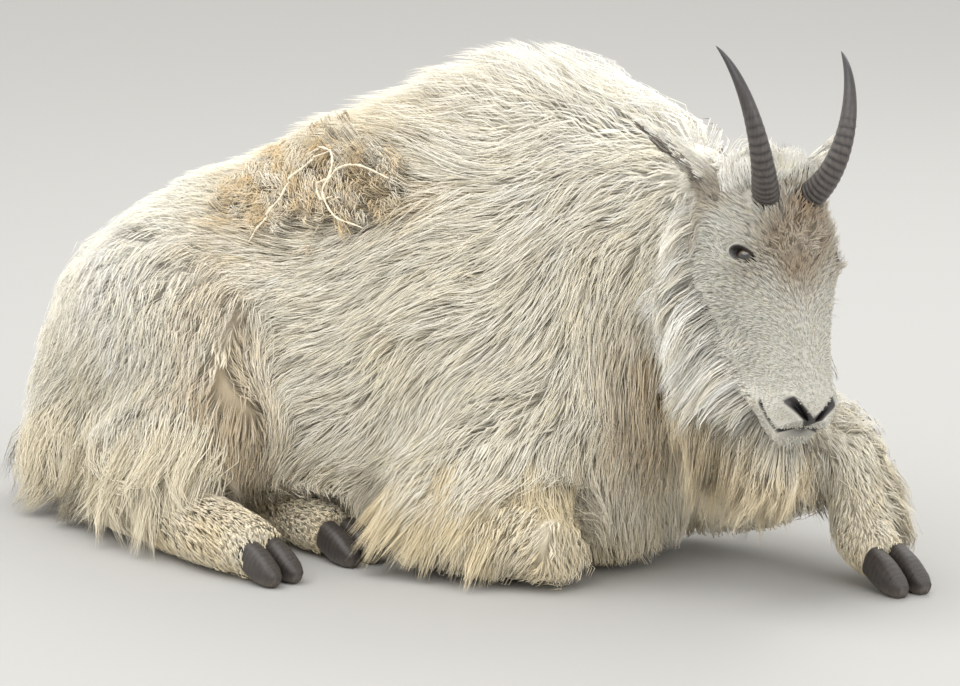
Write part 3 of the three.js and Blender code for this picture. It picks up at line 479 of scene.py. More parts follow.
def joined(parts):
    """Several lots of points and faces as one."""
    starts = np.cumsum([0] + [len(points) for points, _ in parts])
    return (np.vstack([points for points, _ in parts]),
            np.vstack([faces + start for (_, faces), start in zip(parts, starts)]))


def srgb(*parts):
    """A colour as seen, from 0 to 1, as the light that a material needs."""
    c = np.array(parts)
    return np.where(c <= 0.04045, c / 12.92, ((c + 0.055) / 1.055) ** 2.4)


def near(points, place, reach):
    """1 at a place, falling off as a bell with a reach in each direction."""
    return np.exp(-(((points - np.array(place)) / np.array(reach)) ** 2).sum(-1))


def over(colour, tint, amount):
    """A tint laid over one colour or many, by an amount from 0 to 1 at every point."""
    amount = np.clip(amount, 0, 1)[:, None]
    return colour * (1 - amount) + tint * amount


def sway(points, wavelength, seed):
    """A smooth, aimless vector at every point: six sine waves that run and push in seeded directions."""
    draw = np.random.default_rng(seed)
    push = 0
    for _ in range(6):
        run = unit(draw.normal(size=3)) * 2 * math.pi / (wavelength * draw.uniform(0.6, 1.7))
        push = push + np.sin(points @ run + draw.uniform(0, 2 * math.pi))[..., None] * unit(draw.normal(size=3))
    return push / math.sqrt(3)


CREAM, BRIGHT, YELLOW = srgb(0.975, 0.95, 0.88), srgb(0.985, 0.97, 0.925), srgb(0.94, 0.86, 0.68)
BEIGE, TAN, FACE = srgb(0.88, 0.81, 0.69), srgb(0.89, 0.79, 0.62), srgb(0.81, 0.80, 0.755)
BROWN, PAD = srgb(0.62, 0.53, 0.42), srgb(0.24, 0.225, 0.22)


def markings(points):
    """The coat's colour at a place: cream, brighter high on the hump and the back and on the right of the rump,
    a painted highlight where the light from above falls; yellow in the low fringes, beige behind the hip, with a
    tan patch of old wool on the back. The face is greyer, with a brown forehead. Each tint is laid over the last
    one by a bell round its place, times a drift of sine waves."""
    x, y, z = points.T
    cloud = 0.35 * sway(points, 0.13, 21)[:, 0] + 0.25 * sway(points, 0.045, 22)[:, 0]
    # Painted highlight: cream made brighter with height and on the right of the rump, where the light from above
    # falls.
    colour = over(CREAM, BRIGHT, rise_from(z, 0.42, 0.60)
                  + near(points, (-0.60, -0.17, 0.36), (0.10, 0.12, 0.10)) + 0.5 * cloud)
    colour = over(colour, YELLOW, 0.6 * rise_from(z, 0.20, 0.02) * (1 + cloud))
    colour = over(colour, BEIGE, 0.9 * near(points, (-0.40, -0.24, 0.22), (0.07, 0.14, 0.16)) * (1 + cloud))
    colour = over(colour, YELLOW, 0.6 * near(points, (-0.22, -0.10, 0.56), (0.14, 0.10, 0.07)) * (1 + cloud))
    colour = over(colour, BEIGE, near(points, (0.13, -0.06, 0.27), (0.07, 0.08, 0.10)) * (1 + cloud))
    colour = over(colour, TAN, near(points, (-0.375, -0.125, 0.452), (0.13, 0.08, 0.06))
                  * (1.1 + 1.8 * cloud) - 0.2)
    colour = over(colour, TAN, near(points, (-0.17, -0.14, 0.465), (0.09, 0.05, 0.018)) * (0.9 + cloud))
    f, l, u = in_head(points).T
    head = (rise_from(f, -0.02, 0.06) * (np.abs(l) < 0.12) * (u > -0.14) * (u < 0.12)
            * rise_from(x, 0.16, 0.22))
    colour = over(colour, FACE, head)
    colour = over(colour, BRIGHT, head * (0.4 + cloud) * rise_from(u, 0.02, -0.05))
    colour = over(colour, BROWN, head * (0.85 + 1.4 * cloud) * rise_from(u, 0.02, 0.05)
                  * np.exp(-((f - 0.105) / 0.062) ** 2 - (l / 0.040) ** 2))
    colour = over(colour, BROWN, head * (0.55 + cloud) * np.exp(
        -((f - 0.030) / 0.030) ** 2 - ((np.abs(l) - 0.060) / 0.024) ** 2 - ((u - 0.015) / 0.045) ** 2))
    colour = over(colour, BROWN, 0.5 * head * np.exp(
        -((f - 0.122) / 0.030) ** 2 - ((np.abs(l) - 0.050) / 0.015) ** 2 - ((u - 0.028) / 0.022) ** 2))
    return colour


def nose_pad(q):
    """1 on the nose pad, a dark band along both nostrils that meets in the groove over the lip."""
    x, y = by_nostril(q)
    band = rise_from(y, -0.0085, -0.0045) * rise_from(y, 0.0075, 0.0045) * rise_from(x, 0.019, 0.015)
    groove = rise_from(np.abs(q[..., 1]), 0.0035, 0.0015) * rise_from(q[..., 2], -0.040, -0.036)
    return rise_from(q[..., 0], 0.283, 0.289) * np.maximum(
        band * rise_from(q[..., 2], -0.026, -0.018), groove * rise_from(q[..., 2], 0.002, -0.004))


def lips(q):
    """1 in the slit between the lips and on their dark edges."""
    return rise_from(q[..., 0], 0.262, 0.268) * np.exp(-((q[..., 2] - mouth_line(q[..., 0])) / 0.0050) ** 4)


def bareness(q):
    """Where the head has no hair: on the nose pad, round the eyes and between the lips."""
    eyes = sum(rise_from(around_eye(q, side)[0], 1.5, 1.2) for side in (-1, 1))
    return np.clip(nose_pad(q) + lips(q) + eyes + nostril(q), 0, 1)


def tinted(thing, colour, bare=None):
    """Keeps at every point of a piece its colour, and how bare it is, for its material to read."""
    kept = thing.data.color_attributes.new("coat", "FLOAT_COLOR", "POINT")
    alpha = np.zeros(len(colour)) if bare is None else bare
    kept.data.foreach_set("color", np.column_stack((colour, alpha)).astype(np.float32).ravel())


def node(tree, kind, values=(), **feeds):
    """Adds a node, sets its inputs to the values and joins inputs to other nodes' outputs."""
    made = tree.nodes.new(kind)
    for socket, value in dict(values).items():
        made.inputs[socket].default_value = value
    for socket, feed in feeds.items():
        tree.links.new(feed, made.inputs[socket])
    return made


def coloured(name, values=()):
    """A material whose shader has the given values and takes its base colour from the attribute "coat". Gives
    it, its node tree, its shader and the node that reads the attribute."""
    material = bpy.data.materials.new(name)
    material.use_nodes = True
    tree = material.node_tree
    shader, kept = tree.nodes["Principled BSDF"], node(tree, "ShaderNodeAttribute")
    for socket, value in dict(values).items():
        shader.inputs[socket].default_value = value
    kept.attribute_name = "coat"
    tree.links.new(kept.outputs["Color"], shader.inputs["Base Color"])
    return material, tree, shader, kept


def embossed(tree, shader, height, distance, strength):
    """Presses a pattern into a material's surface, over a distance in metres."""
    bump = node(tree, "ShaderNodeBump", {"Distance": distance, "Strength": strength}, Height=height)
    tree.links.new(bump.outputs["Normal"], shader.inputs["Normal"])


def hide():
    """Skin under hair is dull; where it is bare, it is smoother, moist and finely pebbled."""
    material, tree, shader, kept = coloured("hide")
    wet = node(tree, "ShaderNodeMapRange", {"To Min": 0.85, "To Max": 0.38}, Value=kept.outputs["Alpha"])
    tree.links.new(wet.outputs["Result"], shader.inputs["Roughness"])
    where = node(tree, "ShaderNodeTexCoord")
    pebbles = node(tree, "ShaderNodeTexVoronoi", {"Scale": 650}, Vector=where.outputs["Object"])
    embossed(tree, shader, pebbles.outputs["Distance"], 0.0006, 0.6)
    return material


head_points, head_quads = closed(head_grid)
ears = {side: ear_grid(side) for side in (-1, 1)}
skin = piece("skin", *joined([(skin_points, skin_quads), (head_points, head_quads)]
                             + [closed(ears[side][0], -side) for side in (-1, 1)]))
bare = bareness(plain)
# Painted shade: the skin's colours are the coat's, darkened by 0.9 on the head and the ears and by 0.85 on the
# body, for the shade of the hair over it.
head_colour = over(markings(head_points) * 0.9, PAD, bare)
# Painted shade: near black in the nostrils and in the slit between the lips, for the shade inside these
# openings; the same mask also gives the lips their own dark edges.
head_colour = over(head_colour, srgb(0.06, 0.05, 0.05), nostril(plain) * 1.5 + lips(plain))
colours, bared = [markings(skin_points) * 0.85, head_colour], [np.zeros(len(skin_points)), bare]
for side in (-1, 1):
    grid, t, c, s, _, _ = ears[side]
    within = np.clip(s, 0, 1)[None] * rise_from(t, 0.2, 0.35)[:, None] * (1 - np.abs(c[None]) ** 4)
    within = within.ravel()
    brown = np.broadcast_to((rise_from(t, 0.5, 0.1) * 0.7)[:, None], grid.shape[:2]).ravel()
    colours.append(over(over(FACE * 0.9, srgb(0.52, 0.46, 0.40), within), BROWN, brown))
    bared.append(0.3 * within)
tinted(skin, np.vstack(colours), np.concatenate(bared))
skin.data.materials.append(hide())
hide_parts("torso", "neck", "head", "tail", "upper_arm_right", "forearm_right", "forearm_left",
            "thigh_right", "shank_right", "thigh_left", "cannon_front_right", "cannon_front_left",
            "foot_hind_right", "foot_hind_left", "ear_right", "ear_left")


# The eyes: glossy, wet balls of glass set in under the lids, with a dark rim, a grey-brown iris and a level,
# dark pupil. Each is one round form with its colours laid in rings about the way that it looks.
gloss, *_ = coloured("wet_eye", {"Roughness": 0.12, "Coat Weight": 1.0, "Coat Roughness": 0.03})


def ball(middle, radius, out, rows=56, around=88):
    """A sphere whose pole looks along `out`. The cornea swells it by 4% times 1 - (angle / 36 degrees) squared
    round the pole."""
    across = unit(np.cross((0, 0, 1), out))
    up = np.cross(out, across)
    a = np.linspace(0.002, math.pi - 0.002, rows)[:, None]
    b = ring_of(around)[None]
    swell = 1 + 0.04 * np.clip(1 - (a / math.radians(36)) ** 2, 0, 1)
    x, y, z = np.sin(a) * np.cos(b), np.sin(a) * np.sin(b), np.cos(a)
    local = np.stack(np.broadcast_arrays(x * swell, y * swell, z * swell), -1)
    return middle + radius * (local @ np.array((across, up, out))), local


for side, name in ((-1, "right"), (1, "left")):
    out = eye_axes(side)[2] @ HEAD_AXES
    middle = on_head((EYE["f"], side * EYE["out"], EYE["u"])) - EYE["sunk"] * out
    grid, local = ball(middle, EYE["radius"], unit(out + 0.15 * F + 0.15 * U))
    eye = piece(f"eye_ball_{name}", *closed(grid, -1))
    x, y, z = local.reshape(-1, 3).T
    r = np.hypot(x, y)
    angle = np.arctan2(y, x)
    rays = 0.5 + 0.5 * np.sin(47 * angle + 3 * np.sin(5 * angle))
    colour = over(srgb(0.11, 0.085, 0.07), srgb(0.31, 0.25, 0.19), rise_from(r, 0.56, 0.44) * (z > 0))
    colour = over(colour, srgb(0.20, 0.15, 0.11), 0.35 * rays * rise_from(r, 0.60, 0.50) * (z > 0))
    colour = over(colour, srgb(0.02, 0.02, 0.025),
                  rise_from(np.abs(x), 0.42, 0.25) * rise_from(np.abs(y), 0.20, 0.10) * (z > 0))
    tinted(eye, colour)
    eye.data.materials.append(gloss)
    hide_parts(f"eye_{name}")


# The horns: curved, slender sheaths of dark horn, ringed with growth ridges near the root and smooth further
# out. Each is a tapering oval carried along a curve that swings back, and its root is sunk in the skull.
HORN = dict(f=0.050, out=0.028, u=0.066, arc=0.208, sunk=0.013, thick=0.0168, deep=0.0195, rings=14,
            ringed=0.52, notch=0.0006)


def scaled(tree, shader, kept, amount, dark, light, low=0.0, high=1.0):
    """Base colour: the attribute's colour times a share that runs from dark to light as an amount runs from
    low to high."""
    tone = node(tree, "ShaderNodeMapRange", {"From Min": low, "From Max": high, "To Min": dark, "To Max": light},
                Value=amount)
    product = node(tree, "ShaderNodeVectorMath")
    product.operation = "SCALE"
    tree.links.new(kept.outputs["Color"], product.inputs[0])
    tree.links.new(tone.outputs["Result"], product.inputs["Scale"])
    tree.links.new(product.outputs["Vector"], shader.inputs["Base Color"])


def horny(name, dark, light, roughness):
    """Horn: its colour lies in the attribute, with fine streaks of noise drawn out along the upright."""
    material, tree, shader, kept = coloured(
        name, {"Roughness": roughness, "Coat Weight": 0.12, "Coat Roughness": 0.3})
    where = node(tree, "ShaderNodeTexCoord")
    drawn = node(tree, "ShaderNodeMapping", {"Scale": (420, 420, 40)}, Vector=where.outputs["Object"])
    streaks = node(tree, "ShaderNodeTexNoise", {"Scale": 1, "Detail": 5}, Vector=drawn.outputs["Vector"])
    scaled(tree, shader, kept, streaks.outputs["Fac"], dark, light, 0.3, 0.7)
    embossed(tree, shader, streaks.outputs["Fac"], 0.0004, 0.7)
    return material


sheath = horny("horn_sheath", 0.72, 1.25, 0.42)
for side, name in ((-1, "right"), (1, "left")):
    share = np.arange(24)[:, None] / 24
    lean, outward = np.radians(51 - 123 * share), np.radians(22 - 14 * share)
    steps = np.array((0, 0, 1)) * np.cos(lean) + AHEAD * np.sin(lean) + side * L * np.tan(outward)
    stride = (HORN["arc"] + HORN["sunk"]) / len(share)
    root = on_head((HORN["f"], side * HORN["out"], HORN["u"]))
    course = root + stride * np.vstack((np.zeros(3), np.cumsum(steps, 0)))
    t = 1 - (1 - np.linspace(0, 1, 240)) ** 1.25
    t[-1] = 1
    middle = through(course, t)
    along = unit(np.gradient(middle, axis=0))
    across = unit(np.cross(along, AHEAD))
    fore = np.cross(across, along)
    turn = ring_of(64)
    first = HORN["sunk"] / (HORN["arc"] + HORN["sunk"])
    count = HORN["rings"] * np.maximum((t - first) / HORN["ringed"], 0) ** 0.8
    fade = rise_from(count, 16.0, 9.0)
    ridge = np.abs(np.sin(math.pi * count)) ** 0.7 * 2 - 1
    fine = 0.16 * np.sin(9 * 2 * math.pi * count) + 0.1 * np.sin(23 * count)
    uneven = 0.75 + 0.35 * np.sin(turn[None] * 2 + 3 * count[:, None]) ** 2
    relief = HORN["notch"] * (ridge * fade + fine * fade)[:, None] * uneven
    taper = ((1 - t) ** 0.72)[:, None]
    grid = (middle[:, None]
            + (np.cos(turn) * taper * (HORN["thick"] + relief))[..., None] * across[:, None]
            + (np.sin(turn) * taper * (HORN["deep"] + relief))[..., None] * fore[:, None])
    horn = piece(f"horn_sheath_{name}", *closed(grid))
    worn, at = np.repeat(0.5 + 0.5 * ridge * fade, len(turn)), np.repeat(t, len(turn))
    colour = over(srgb(0.17, 0.16, 0.165), srgb(0.40, 0.375, 0.355), 0.7 * worn ** 1.5)
    tinted(horn, over(colour, srgb(0.16, 0.15, 0.155), rise_from(at, 0.55, 0.9)))
    horn.data.materials.append(sheath)
    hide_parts(f"horn_{name}")


# The hooves: each two pointed claws of grey-brown horn, ringed with fine growth lines, paler and worn along the
# sole. They grow round the ends of the toes, and their tops are hidden in the hair of the foot.
HOOVES = {  # the back of the sole, the tip and how far each claw stands from the middle, in millimetres
    "front_left": ((367, 83, 35), (424, 59, 12), 17),
    "front_right": ((-132, -90, 30), (-190, -88, 22), 15),
    "hind_right": ((-292, -328, 36), (-236, -342, 14), 17),
    "hind_left": ((-272, -188, 32), (-216, -206, 14), 16),
}
CLAW = (  # share of the way to the tip, half width, reach above and below, in millimetres
    (0, 14, 20, 20), (0.45, 15, 19, 22), (0.85, 13, 12, 18), (1.05, 8, 6, 12))
claw_horn = horny("hoof_horn", 0.7, 1.2, 0.5)
for name, (heel, tip, offset) in HOOVES.items():
    heel, tip = np.array(heel, float), np.array(tip, float)
    claws, shades = [], []
    for side in (-1, 1):
        out = unit(np.cross((0, 0, 1), unit(tip - heel))) * side * offset
        stations = tuple((*(heel + (tip - heel) * t + out), wide, above, below, 0, 0, 0)
                         for t, wide, above, below in CLAW)
        rows = row_shares(44, 10)
        turn = ring_of(48)
        claw = dict(square=2.6, round=0.35, stations=stations)
        grid = shell(claw, rows, turn)
        axis = sections(claw, rows)[0][:, None]
        waves = 0.00012 * np.sin(70 * rows) + 0.00008 * np.sin(173 * rows + 2)
        grid = grid + unit(grid - axis) * (waves[:, None] * (np.sin(turn) > -0.5))[..., None]
        grid[..., 2] = np.maximum(grid[..., 2], 0.0008)
        low = rise_from(grid[..., 2], 0.016, 0.002)
        tone = np.repeat(0.5 + 0.5 * np.sin(70 * rows), len(turn))
        colour = over(srgb(0.235, 0.215, 0.205), srgb(0.31, 0.285, 0.265), 0.5 * tone)
        shades.append(over(colour, srgb(0.44, 0.405, 0.365), 0.7 * low.ravel()))
        claws.append(closed(grid))
    hoof = piece(f"hoof_{name}", *joined(claws))
    tinted(hoof, np.vstack(shades))
    hoof.data.materials.append(claw_horn)
    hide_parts(f"hoof_{name}_outer", f"hoof_{name}_inner")


# The fleece: long, fine, crimped hair over a woolly undercoat. It grows in wisps that lean on the ones below
# and close towards their tips. Every wisp is combed over the body and then split into single strands.
BODY = list(MASSES)
LIES = {  # which way hair runs on a mass: x, y, then z where the skin stands upright and where it faces up
    "trunk": (-1, 0, -0.6, 0.12), "neck": (-0.62, 0, -1.1, 0.15), "tail": (-0.25, -0.1, -1, -1),
    "arm_right": (-0.62, -0.15, -1, -0.7), "forearm_right": (-0.3, -0.25, -1, -0.6),
    "cannon_right": (-1, 0, -0.3, -0.1), "forearm_left": (0.35, 0.1, -1, -0.25),
    "cannon_left": (0.3, 0.1, -1, -1), "thigh_right": (-0.1, -0.12, -1, -0.45),
    "shank_right": (0.1, -0.12, -1, -0.6), "breech": (-0.15, -0.1, -1, -0.8),
    "foot_right": (0.9, -0.3, -0.5, -0.1), "thigh_left": (-0.3, 0.1, -1, -0.4),
    "foot_left": (0.9, -0.3, -0.5, -0.1), "head": (0, 0, -1, 0),
}
THIN, FULL = 0.02, 0.085  # the least and the greatest depth of the long coat
FIELD_SOFT = 0.008  # how widely the masses run into one another in the distance that hair goes by
field = softly_joined(list(distances.values()), FIELD_SOFT)
slope = np.gradient(field, CELL)


def read(block, points):
    """A block's value at points, by the eight cells round each."""
    at = np.clip((points - LOW) / CELL, 0, COUNT - 1.001)
    i = at.astype(int)
    w = at - i
    value = 0
    for corner in range(8):
        step = np.array((corner & 1, corner >> 1 & 1, corner >> 2 & 1))
        share = np.prod(np.where(step, w, 1 - w), axis=-1)
        value = value + share * block[tuple((i + step)[..., k] for k in range(3))]
    return value


def away(points):
    """The direction straight away from the skin."""
    return unit(np.stack([read(part, points) for part in slope], -1))


def lifted(points, height):
    """Points moved straight away from the skin, or towards it, until they stand at a height over it."""
    return points + away(points) * (height - read(field, points))[:, None]


def shares_of(points):
    """How far each point belongs to each mass: exp(-distance / 14 mm), made to add up to one."""
    apart = np.stack([read(distances[name], points) for name in BODY], -1)
    share = np.exp(-(apart - apart.min(-1, keepdims=True)) / 0.014)
    return share / share.sum(-1, keepdims=True)


def place_on(name, points):
    """Where points lie on a mass: the share of its path, the angle round it and the depth of the coat there."""
    mass, at = MASSES[name], np.linspace(0, 1, 41)
    middle, along, side, rise, measures = sections(mass, at)
    gap = points[:, None] - middle[None]
    gap = np.abs(gap[..., 0]) if "facing" in mass else np.linalg.norm(gap, axis=-1)
    i = gap.argmin(1)
    wide, above, below, coat, crest, fringe = measures[:, i]
    offset = points - middle[i]
    across = (offset * side[i]).sum(-1) / wide
    up = (offset * rise[i]).sum(-1)
    up = up / np.where(up > 0, above, below)
    squared = up ** 2 / np.maximum(across ** 2 + up ** 2, 1e-9)
    return at[i], np.arctan2(up, across), coat + (np.where(up > 0, crest, fringe) - coat) * squared


def strewn(points, quads, spacing, rng):
    """Places over a surface: seeded picks on its faces in proportion to their area, one kept in each cell of
    the spacing. Each is given as the four corners of its face and their weights."""
    a, b, c, d = (points[quads[:, k]] for k in range(4))
    area = np.linalg.norm(np.cross(c - a, d - b), axis=1) / 2
    pick = rng.choice(len(quads), int(5 * area.sum() / spacing ** 2), p=area / area.sum())
    s, t = rng.random((2, len(pick)))
    weights = np.stack(((1 - s) * (1 - t), s * (1 - t), s * t, (1 - s) * t), -1)
    cell = np.floor(mixed(points, quads[pick], weights) / spacing + 1000).astype(np.int64)
    kept = np.unique(cell @ np.array((1, 4000, 16000000)), return_index=True)[1]
    return quads[pick][kept], weights[kept]


def mixed(values, corners, weights):
    """What a value at every point of a surface comes to at places on it."""
    return (values[corners] * weights[..., None]).sum(1)


def lie(points, out, share):
    """Which way hair runs: the lies of the masses, weighed by how far the point belongs to each. Where the skin
    faces forwards, hair doesn't run back into it. On the head it runs from the nose back and outwards, and
    downwards on the cheeks and the jaw."""
    run, sideways, upright, level = np.moveaxis(share @ np.array([LIES[name] for name in BODY], float), -1, 0)
    facing_up = np.clip(out[..., 2], 0, 1)
    front = 1 - 0.95 * np.clip(1.4 * out[..., 0], 0, 1)
    ways = np.stack((np.where(run < 0, run * front, run), sideways,
                     upright * (1 - facing_up) + level * facing_up), -1)
    face = share[..., BODY.index("head"), None]
    q = in_head(points)
    low = np.clip(1 - (q[..., 2] + 0.02) / 0.05, 0, 1)
    back = np.stack((-1 + 0.85 * low * rise_from(q[..., 0], 0.25, 0.19),
                     1.1 * np.sign(q[..., 1]) * np.clip(np.abs(q[..., 1]) / 0.04, 0, 1), -low), -1)
    return ways * (1 - face) + face * unit(back @ HEAD_AXES)


def combed(roots, length, depth, lift, unruly, steps=7):
    """The lines of wisps. Each step goes the way the hair lies, leaves the skin freely but never enters it,
    and is then kept between its own layer of the coat and the coat's full depth, and off the floor."""
    at = roots
    line = [roots - 0.002 * away(roots)]
    for step in range(1, steps + 1):
        s = step / steps
        out = away(at)
        way = (unit(lie(at, out, shares_of(at))) + unruly * (
            0.40 * sway(at, 0.20, 5) + 0.30 * sway(at, 0.06, 6) + 0.16 * sway(roots, 0.004, 7)))
        into = (way * out).sum(-1, keepdims=True)
        way = unit(way - out * np.where(into < 0, into, 0.5 * into))
        at = at + way * (length / steps)[:, None]
        height = read(field, at)
        layer = depth * lift * (1 - (1 - s) ** 2) ** 0.8 * (1 - 0.15 * s ** 3)
        at = at + away(at) * (np.clip(height, layer, depth) - height)[:, None]
        at[:, 2] = np.maximum(at[:, 2], 0.004 + 0.006 * lift)
        line.append(at)
    return np.stack(line, 1)


def blades(line, count, rings, rng, *, spread, gather, width, curl, late=0.3, span=(0.65, 1)):
    """Strands round the lines of wisps. A strand starts at a share of the line up to late, is as long as the
    span, and lies apart from the line by the spread, sidewards and outwards. It closes on the line by the share
    gather times s to the power 1.3, and a sine wave crimps it by curl times s. It is a three-sided blade that
    narrows to a point at both ends and is lit as if it were round. Gives its points, the directions that they
    are lit from, its faces and, for each point, the wisp, the share of its length and how high it lies."""
    ahead = unit(np.gradient(line, axis=1))
    side = unit(np.cross(ahead, away(line)))
    rise = np.cross(side, ahead)
    wisp = np.repeat(np.arange(len(line)), count)
    total, last = len(wisp), line.shape[1] - 1
    sideways = rng.normal(size=(total, 1)) * spread
    height = rng.uniform(-1, 1, (total, 1))
    outwards = height * 0.4 * spread
    start = rng.uniform(0, late, (total, 1))
    reach = np.minimum(start + rng.uniform(*span, (total, 1)), 1)
    phase, turns = rng.uniform(0, 2 * math.pi, (2, total, 1)), rng.uniform(0.7, 1.6, (2, total, 1))
    s = start + (reach - start) * np.linspace(0, 1, rings + 2)[None]
    i = np.minimum((s * last).astype(int), last - 1)
    w = (s * last - i)[..., None]
    points, across, up = (
        block[wisp[:, None], i] * (1 - w) + block[wisp[:, None], i + 1] * w for block in (line, side, rise))
    apart = 1 - gather * s ** 1.3
    crimp = curl * s * np.sin(2 * math.pi * turns * s + phase)
    points = (points + across * (sideways * apart + crimp[0])[..., None]
              + up * (outwards * apart + 0.5 * crimp[1])[..., None])
    points[:, 0] = lifted(points[:, 0], -0.002)
    points[..., 2] = np.maximum(points[..., 2], FLOOR_GAP)
    half = width * rng.uniform(0.75, 1.2, (total, 1)) * np.array({1: (1.0,), 2: (1.0, 0.8)}[rings])
    ring = [points[:, 1:-1] + across[:, 1:-1] * (half * a)[..., None] + up[:, 1:-1] * (half * b)[..., None]
            for a, b in ((1, -0.25), (0, 0.6), (-1, -0.25))]
    lit = [across[:, 1:-1] * a + up[:, 1:-1] * b for a, b in ((0.9, -0.12), (0, 1), (-0.9, -0.12))]
    ring, lit = (np.stack(corners, 2).reshape(total, 3 * rings, 3) for corners in (ring, lit))
    body = np.concatenate((points[:, :1], ring, points[:, -1:]), 1)
    lit = np.concatenate((up[:, :1], lit, up[:, -1:]), 1)
    faces = [(1 + k, 1 + (k + 1) % 3, 0) for k in range(3)]
    for r in range(rings - 1):
        for k in range(3):
            a, b = 1 + 3 * r + k, 1 + 3 * r + (k + 1) % 3
            faces += [(a, a + 3, b + 3), (a, b + 3, b)]
    tip = 1 + 3 * rings
    faces += [(tip - 3 + (k + 1) % 3, tip - 3 + k, tip) for k in range(3)]
    each = tip + 1
    faces = (np.array(faces)[None] + each * np.arange(total)[:, None, None]).reshape(-1, 3)
    share = np.concatenate((s[:, :1], np.repeat(s[:, 1:-1], 3, 1), s[:, -1:]), 1)
    return (body.reshape(-1, 3), unit(lit).reshape(-1, 3), faces, np.repeat(wisp, each), share.ravel(),
            np.repeat(height[:, 0], each))


def hair_material(name, roughness, sheen):
    """Strands take their colour from the attribute; fine noise on it keeps neighbours apart."""
    material, tree, shader, kept = coloured(
        name, {"Roughness": roughness, "Sheen Weight": sheen, "Specular IOR Level": 0.25})
    where = node(tree, "ShaderNodeTexCoord")
    grain = node(tree, "ShaderNodeTexNoise", {"Scale": 220}, Vector=where.outputs["Object"])
    scaled(tree, shader, kept, grain.outputs["Fac"], 0.92, 1.08)
    return material


HAIR = hair_material("fleece_hair", 0.62, 0.25)


def coat_piece(name, slot, roots, line, count, rings, *, tint=None, tip=None, **form):
    """A piece of coat: strands on the lines of wisps. A strand is darker at its root and where it lies deep, as
    painted shade of the coat round it, and each wisp has its own tone. Its patch on the unwrapped skin is 0.003
    across, at its wisp's root: one of four by four tiles for each mass, the share of the mass's path across and
    the angle round it up."""
    points, lit, faces, wisp, share, height = blades(line, count, rings, rng, **form)
    thing = piece(name, points, faces, lit)
    base = markings(roots) if tint is None else np.broadcast_to(tint, roots.shape)
    own = rng.uniform(0.94, 1.04, len(roots)) + 0.04 * sway(roots, 0.03, 31)[:, 0]
    warm = np.clip(rng.normal(0, 0.02, len(roots)), -0.03, 0.05)
    base = base * own[:, None] * (1 + warm[:, None] * np.array((1, 0.2, -1.6)))
    # Painted shade: darker towards the root and in the lower layers of the coat.
    tone = (0.90 + 0.14 * share ** 0.8) * (1 + 0.04 * height)
    colour = base[wisp] if tip is None else over(base[wisp], tip, rise_from(share, 0.15, 0.75))
    tinted(thing, np.clip(colour * tone[:, None], 0, 1))
    strongest = shares_of(roots).argmax(-1)
    spot = np.zeros((len(roots), 2))
    for index, mass in enumerate(BODY):
        here = strongest == index
        if here.any():
            at, angle, _ = place_on(mass, roots[here])
            tile = np.array((index % 4, index // 4))
            spot[here] = (tile + 0.02 + 0.95 * np.column_stack((at, angle / (2 * math.pi) % 1))) / 4
    patch = spot[wisp] + 0.003 * np.column_stack((share, 0.5 + 0.5 * height))
    unwrap = thing.data.uv_layers.new(name="OFBake")
    unwrap.data.foreach_set("uv", patch[faces.ravel()].astype(np.float32).ravel())
    thing.data.materials.append(HAIR)
    return thing


rng = np.random.default_rng(11)
LEGS = [BODY.index(name) for name in ("cannon_right", "cannon_left", "foot_right", "foot_left")]


def rooted(spacing):
    """Roots over the body, clear of the head and the floor, with each one's depth of coat and share of leg."""
    roots = mixed(skin_points, *strewn(skin_points, skin_quads, spacing, rng))
    roots = roots[(read(field, roots) > -0.004) & (roots[:, 2] > 0.004)]
    share = shares_of(roots)
    depth = sum(share[:, k] * place_on(name, roots)[2] for k, name in enumerate(BODY))
    return roots, depth, share[:, LEGS].sum(-1)


roots, depth, leg = rooted(0.0152)
roots, depth = roots[leg < 0.5], depth[leg < 0.5]
zone = np.digitize(roots[:, 0], (-0.47, -0.24, -0.02))
left = roots[:, 1] > -0.01
for index, place in enumerate(("rump", "flank", "shoulder", "neck")):
    for side, name in ((False, "right"), (True, "left")):
        here = (zone == index) & (left == side)
        some = roots[here]
        deep = np.clip(depth[here], THIN, FULL)
        length = np.clip(2.0 * deep, 0.05, 0.14) * rng.uniform(0.85, 1.15, len(some))
        line = combed(some, length, deep, rng.uniform(0.78, 1.0, len(some)), 0.55)
        coat_piece(f"fleece_{place}_{name}", "long_coat", some, line, 14, 1, spread=0.0098, gather=0.38,
                   width=0.00062, curl=0.0026, late=0.52, span=(0.42, 0.56))


# The undercoat: short, dense wool that grows between the long hairs. It stays close to the skin, where it fills
# the gaps between the wisps, and thins out down the legs.
under, under_depth, leg = rooted(0.0145)
for name, here in (("rear", under[:, 0] < -0.3), ("front", under[:, 0] >= -0.3)):
    some, deep = under[here], 0.70 * np.clip(under_depth[here], THIN, FULL) * (1 - 0.75 * leg[here])
    line = combed(some, np.clip(1.5 * deep, 0.03, 0.06), deep, rng.uniform(0.7, 1, len(some)), 1.0, steps=3)
    coat_piece(f"undercoat_{name}", "long_coat", some, line, 3, 1, spread=0.0065, gather=0.2, width=0.0020,
               curl=0.002)


# The hair of the legs below the knee and the hock: close, straight and stiff. It runs down to the hooves and
# covers their tops.
shin, shin_depth, leg = rooted(0.0064)
shin, shin_depth = shin[leg >= 0.4], shin_depth[leg >= 0.4]
deep = np.clip(0.62 * shin_depth, 0.005, 0.02)
line = combed(shin, np.clip(2.6 * deep, 0.018, 0.045), deep, rng.uniform(0.8, 1, len(shin)), 0.35, steps=5)
coat_piece("leg_hair", "leg_fur", shin, line, 5, 1, spread=0.0048, gather=0.15, width=0.0008, curl=0.0010)


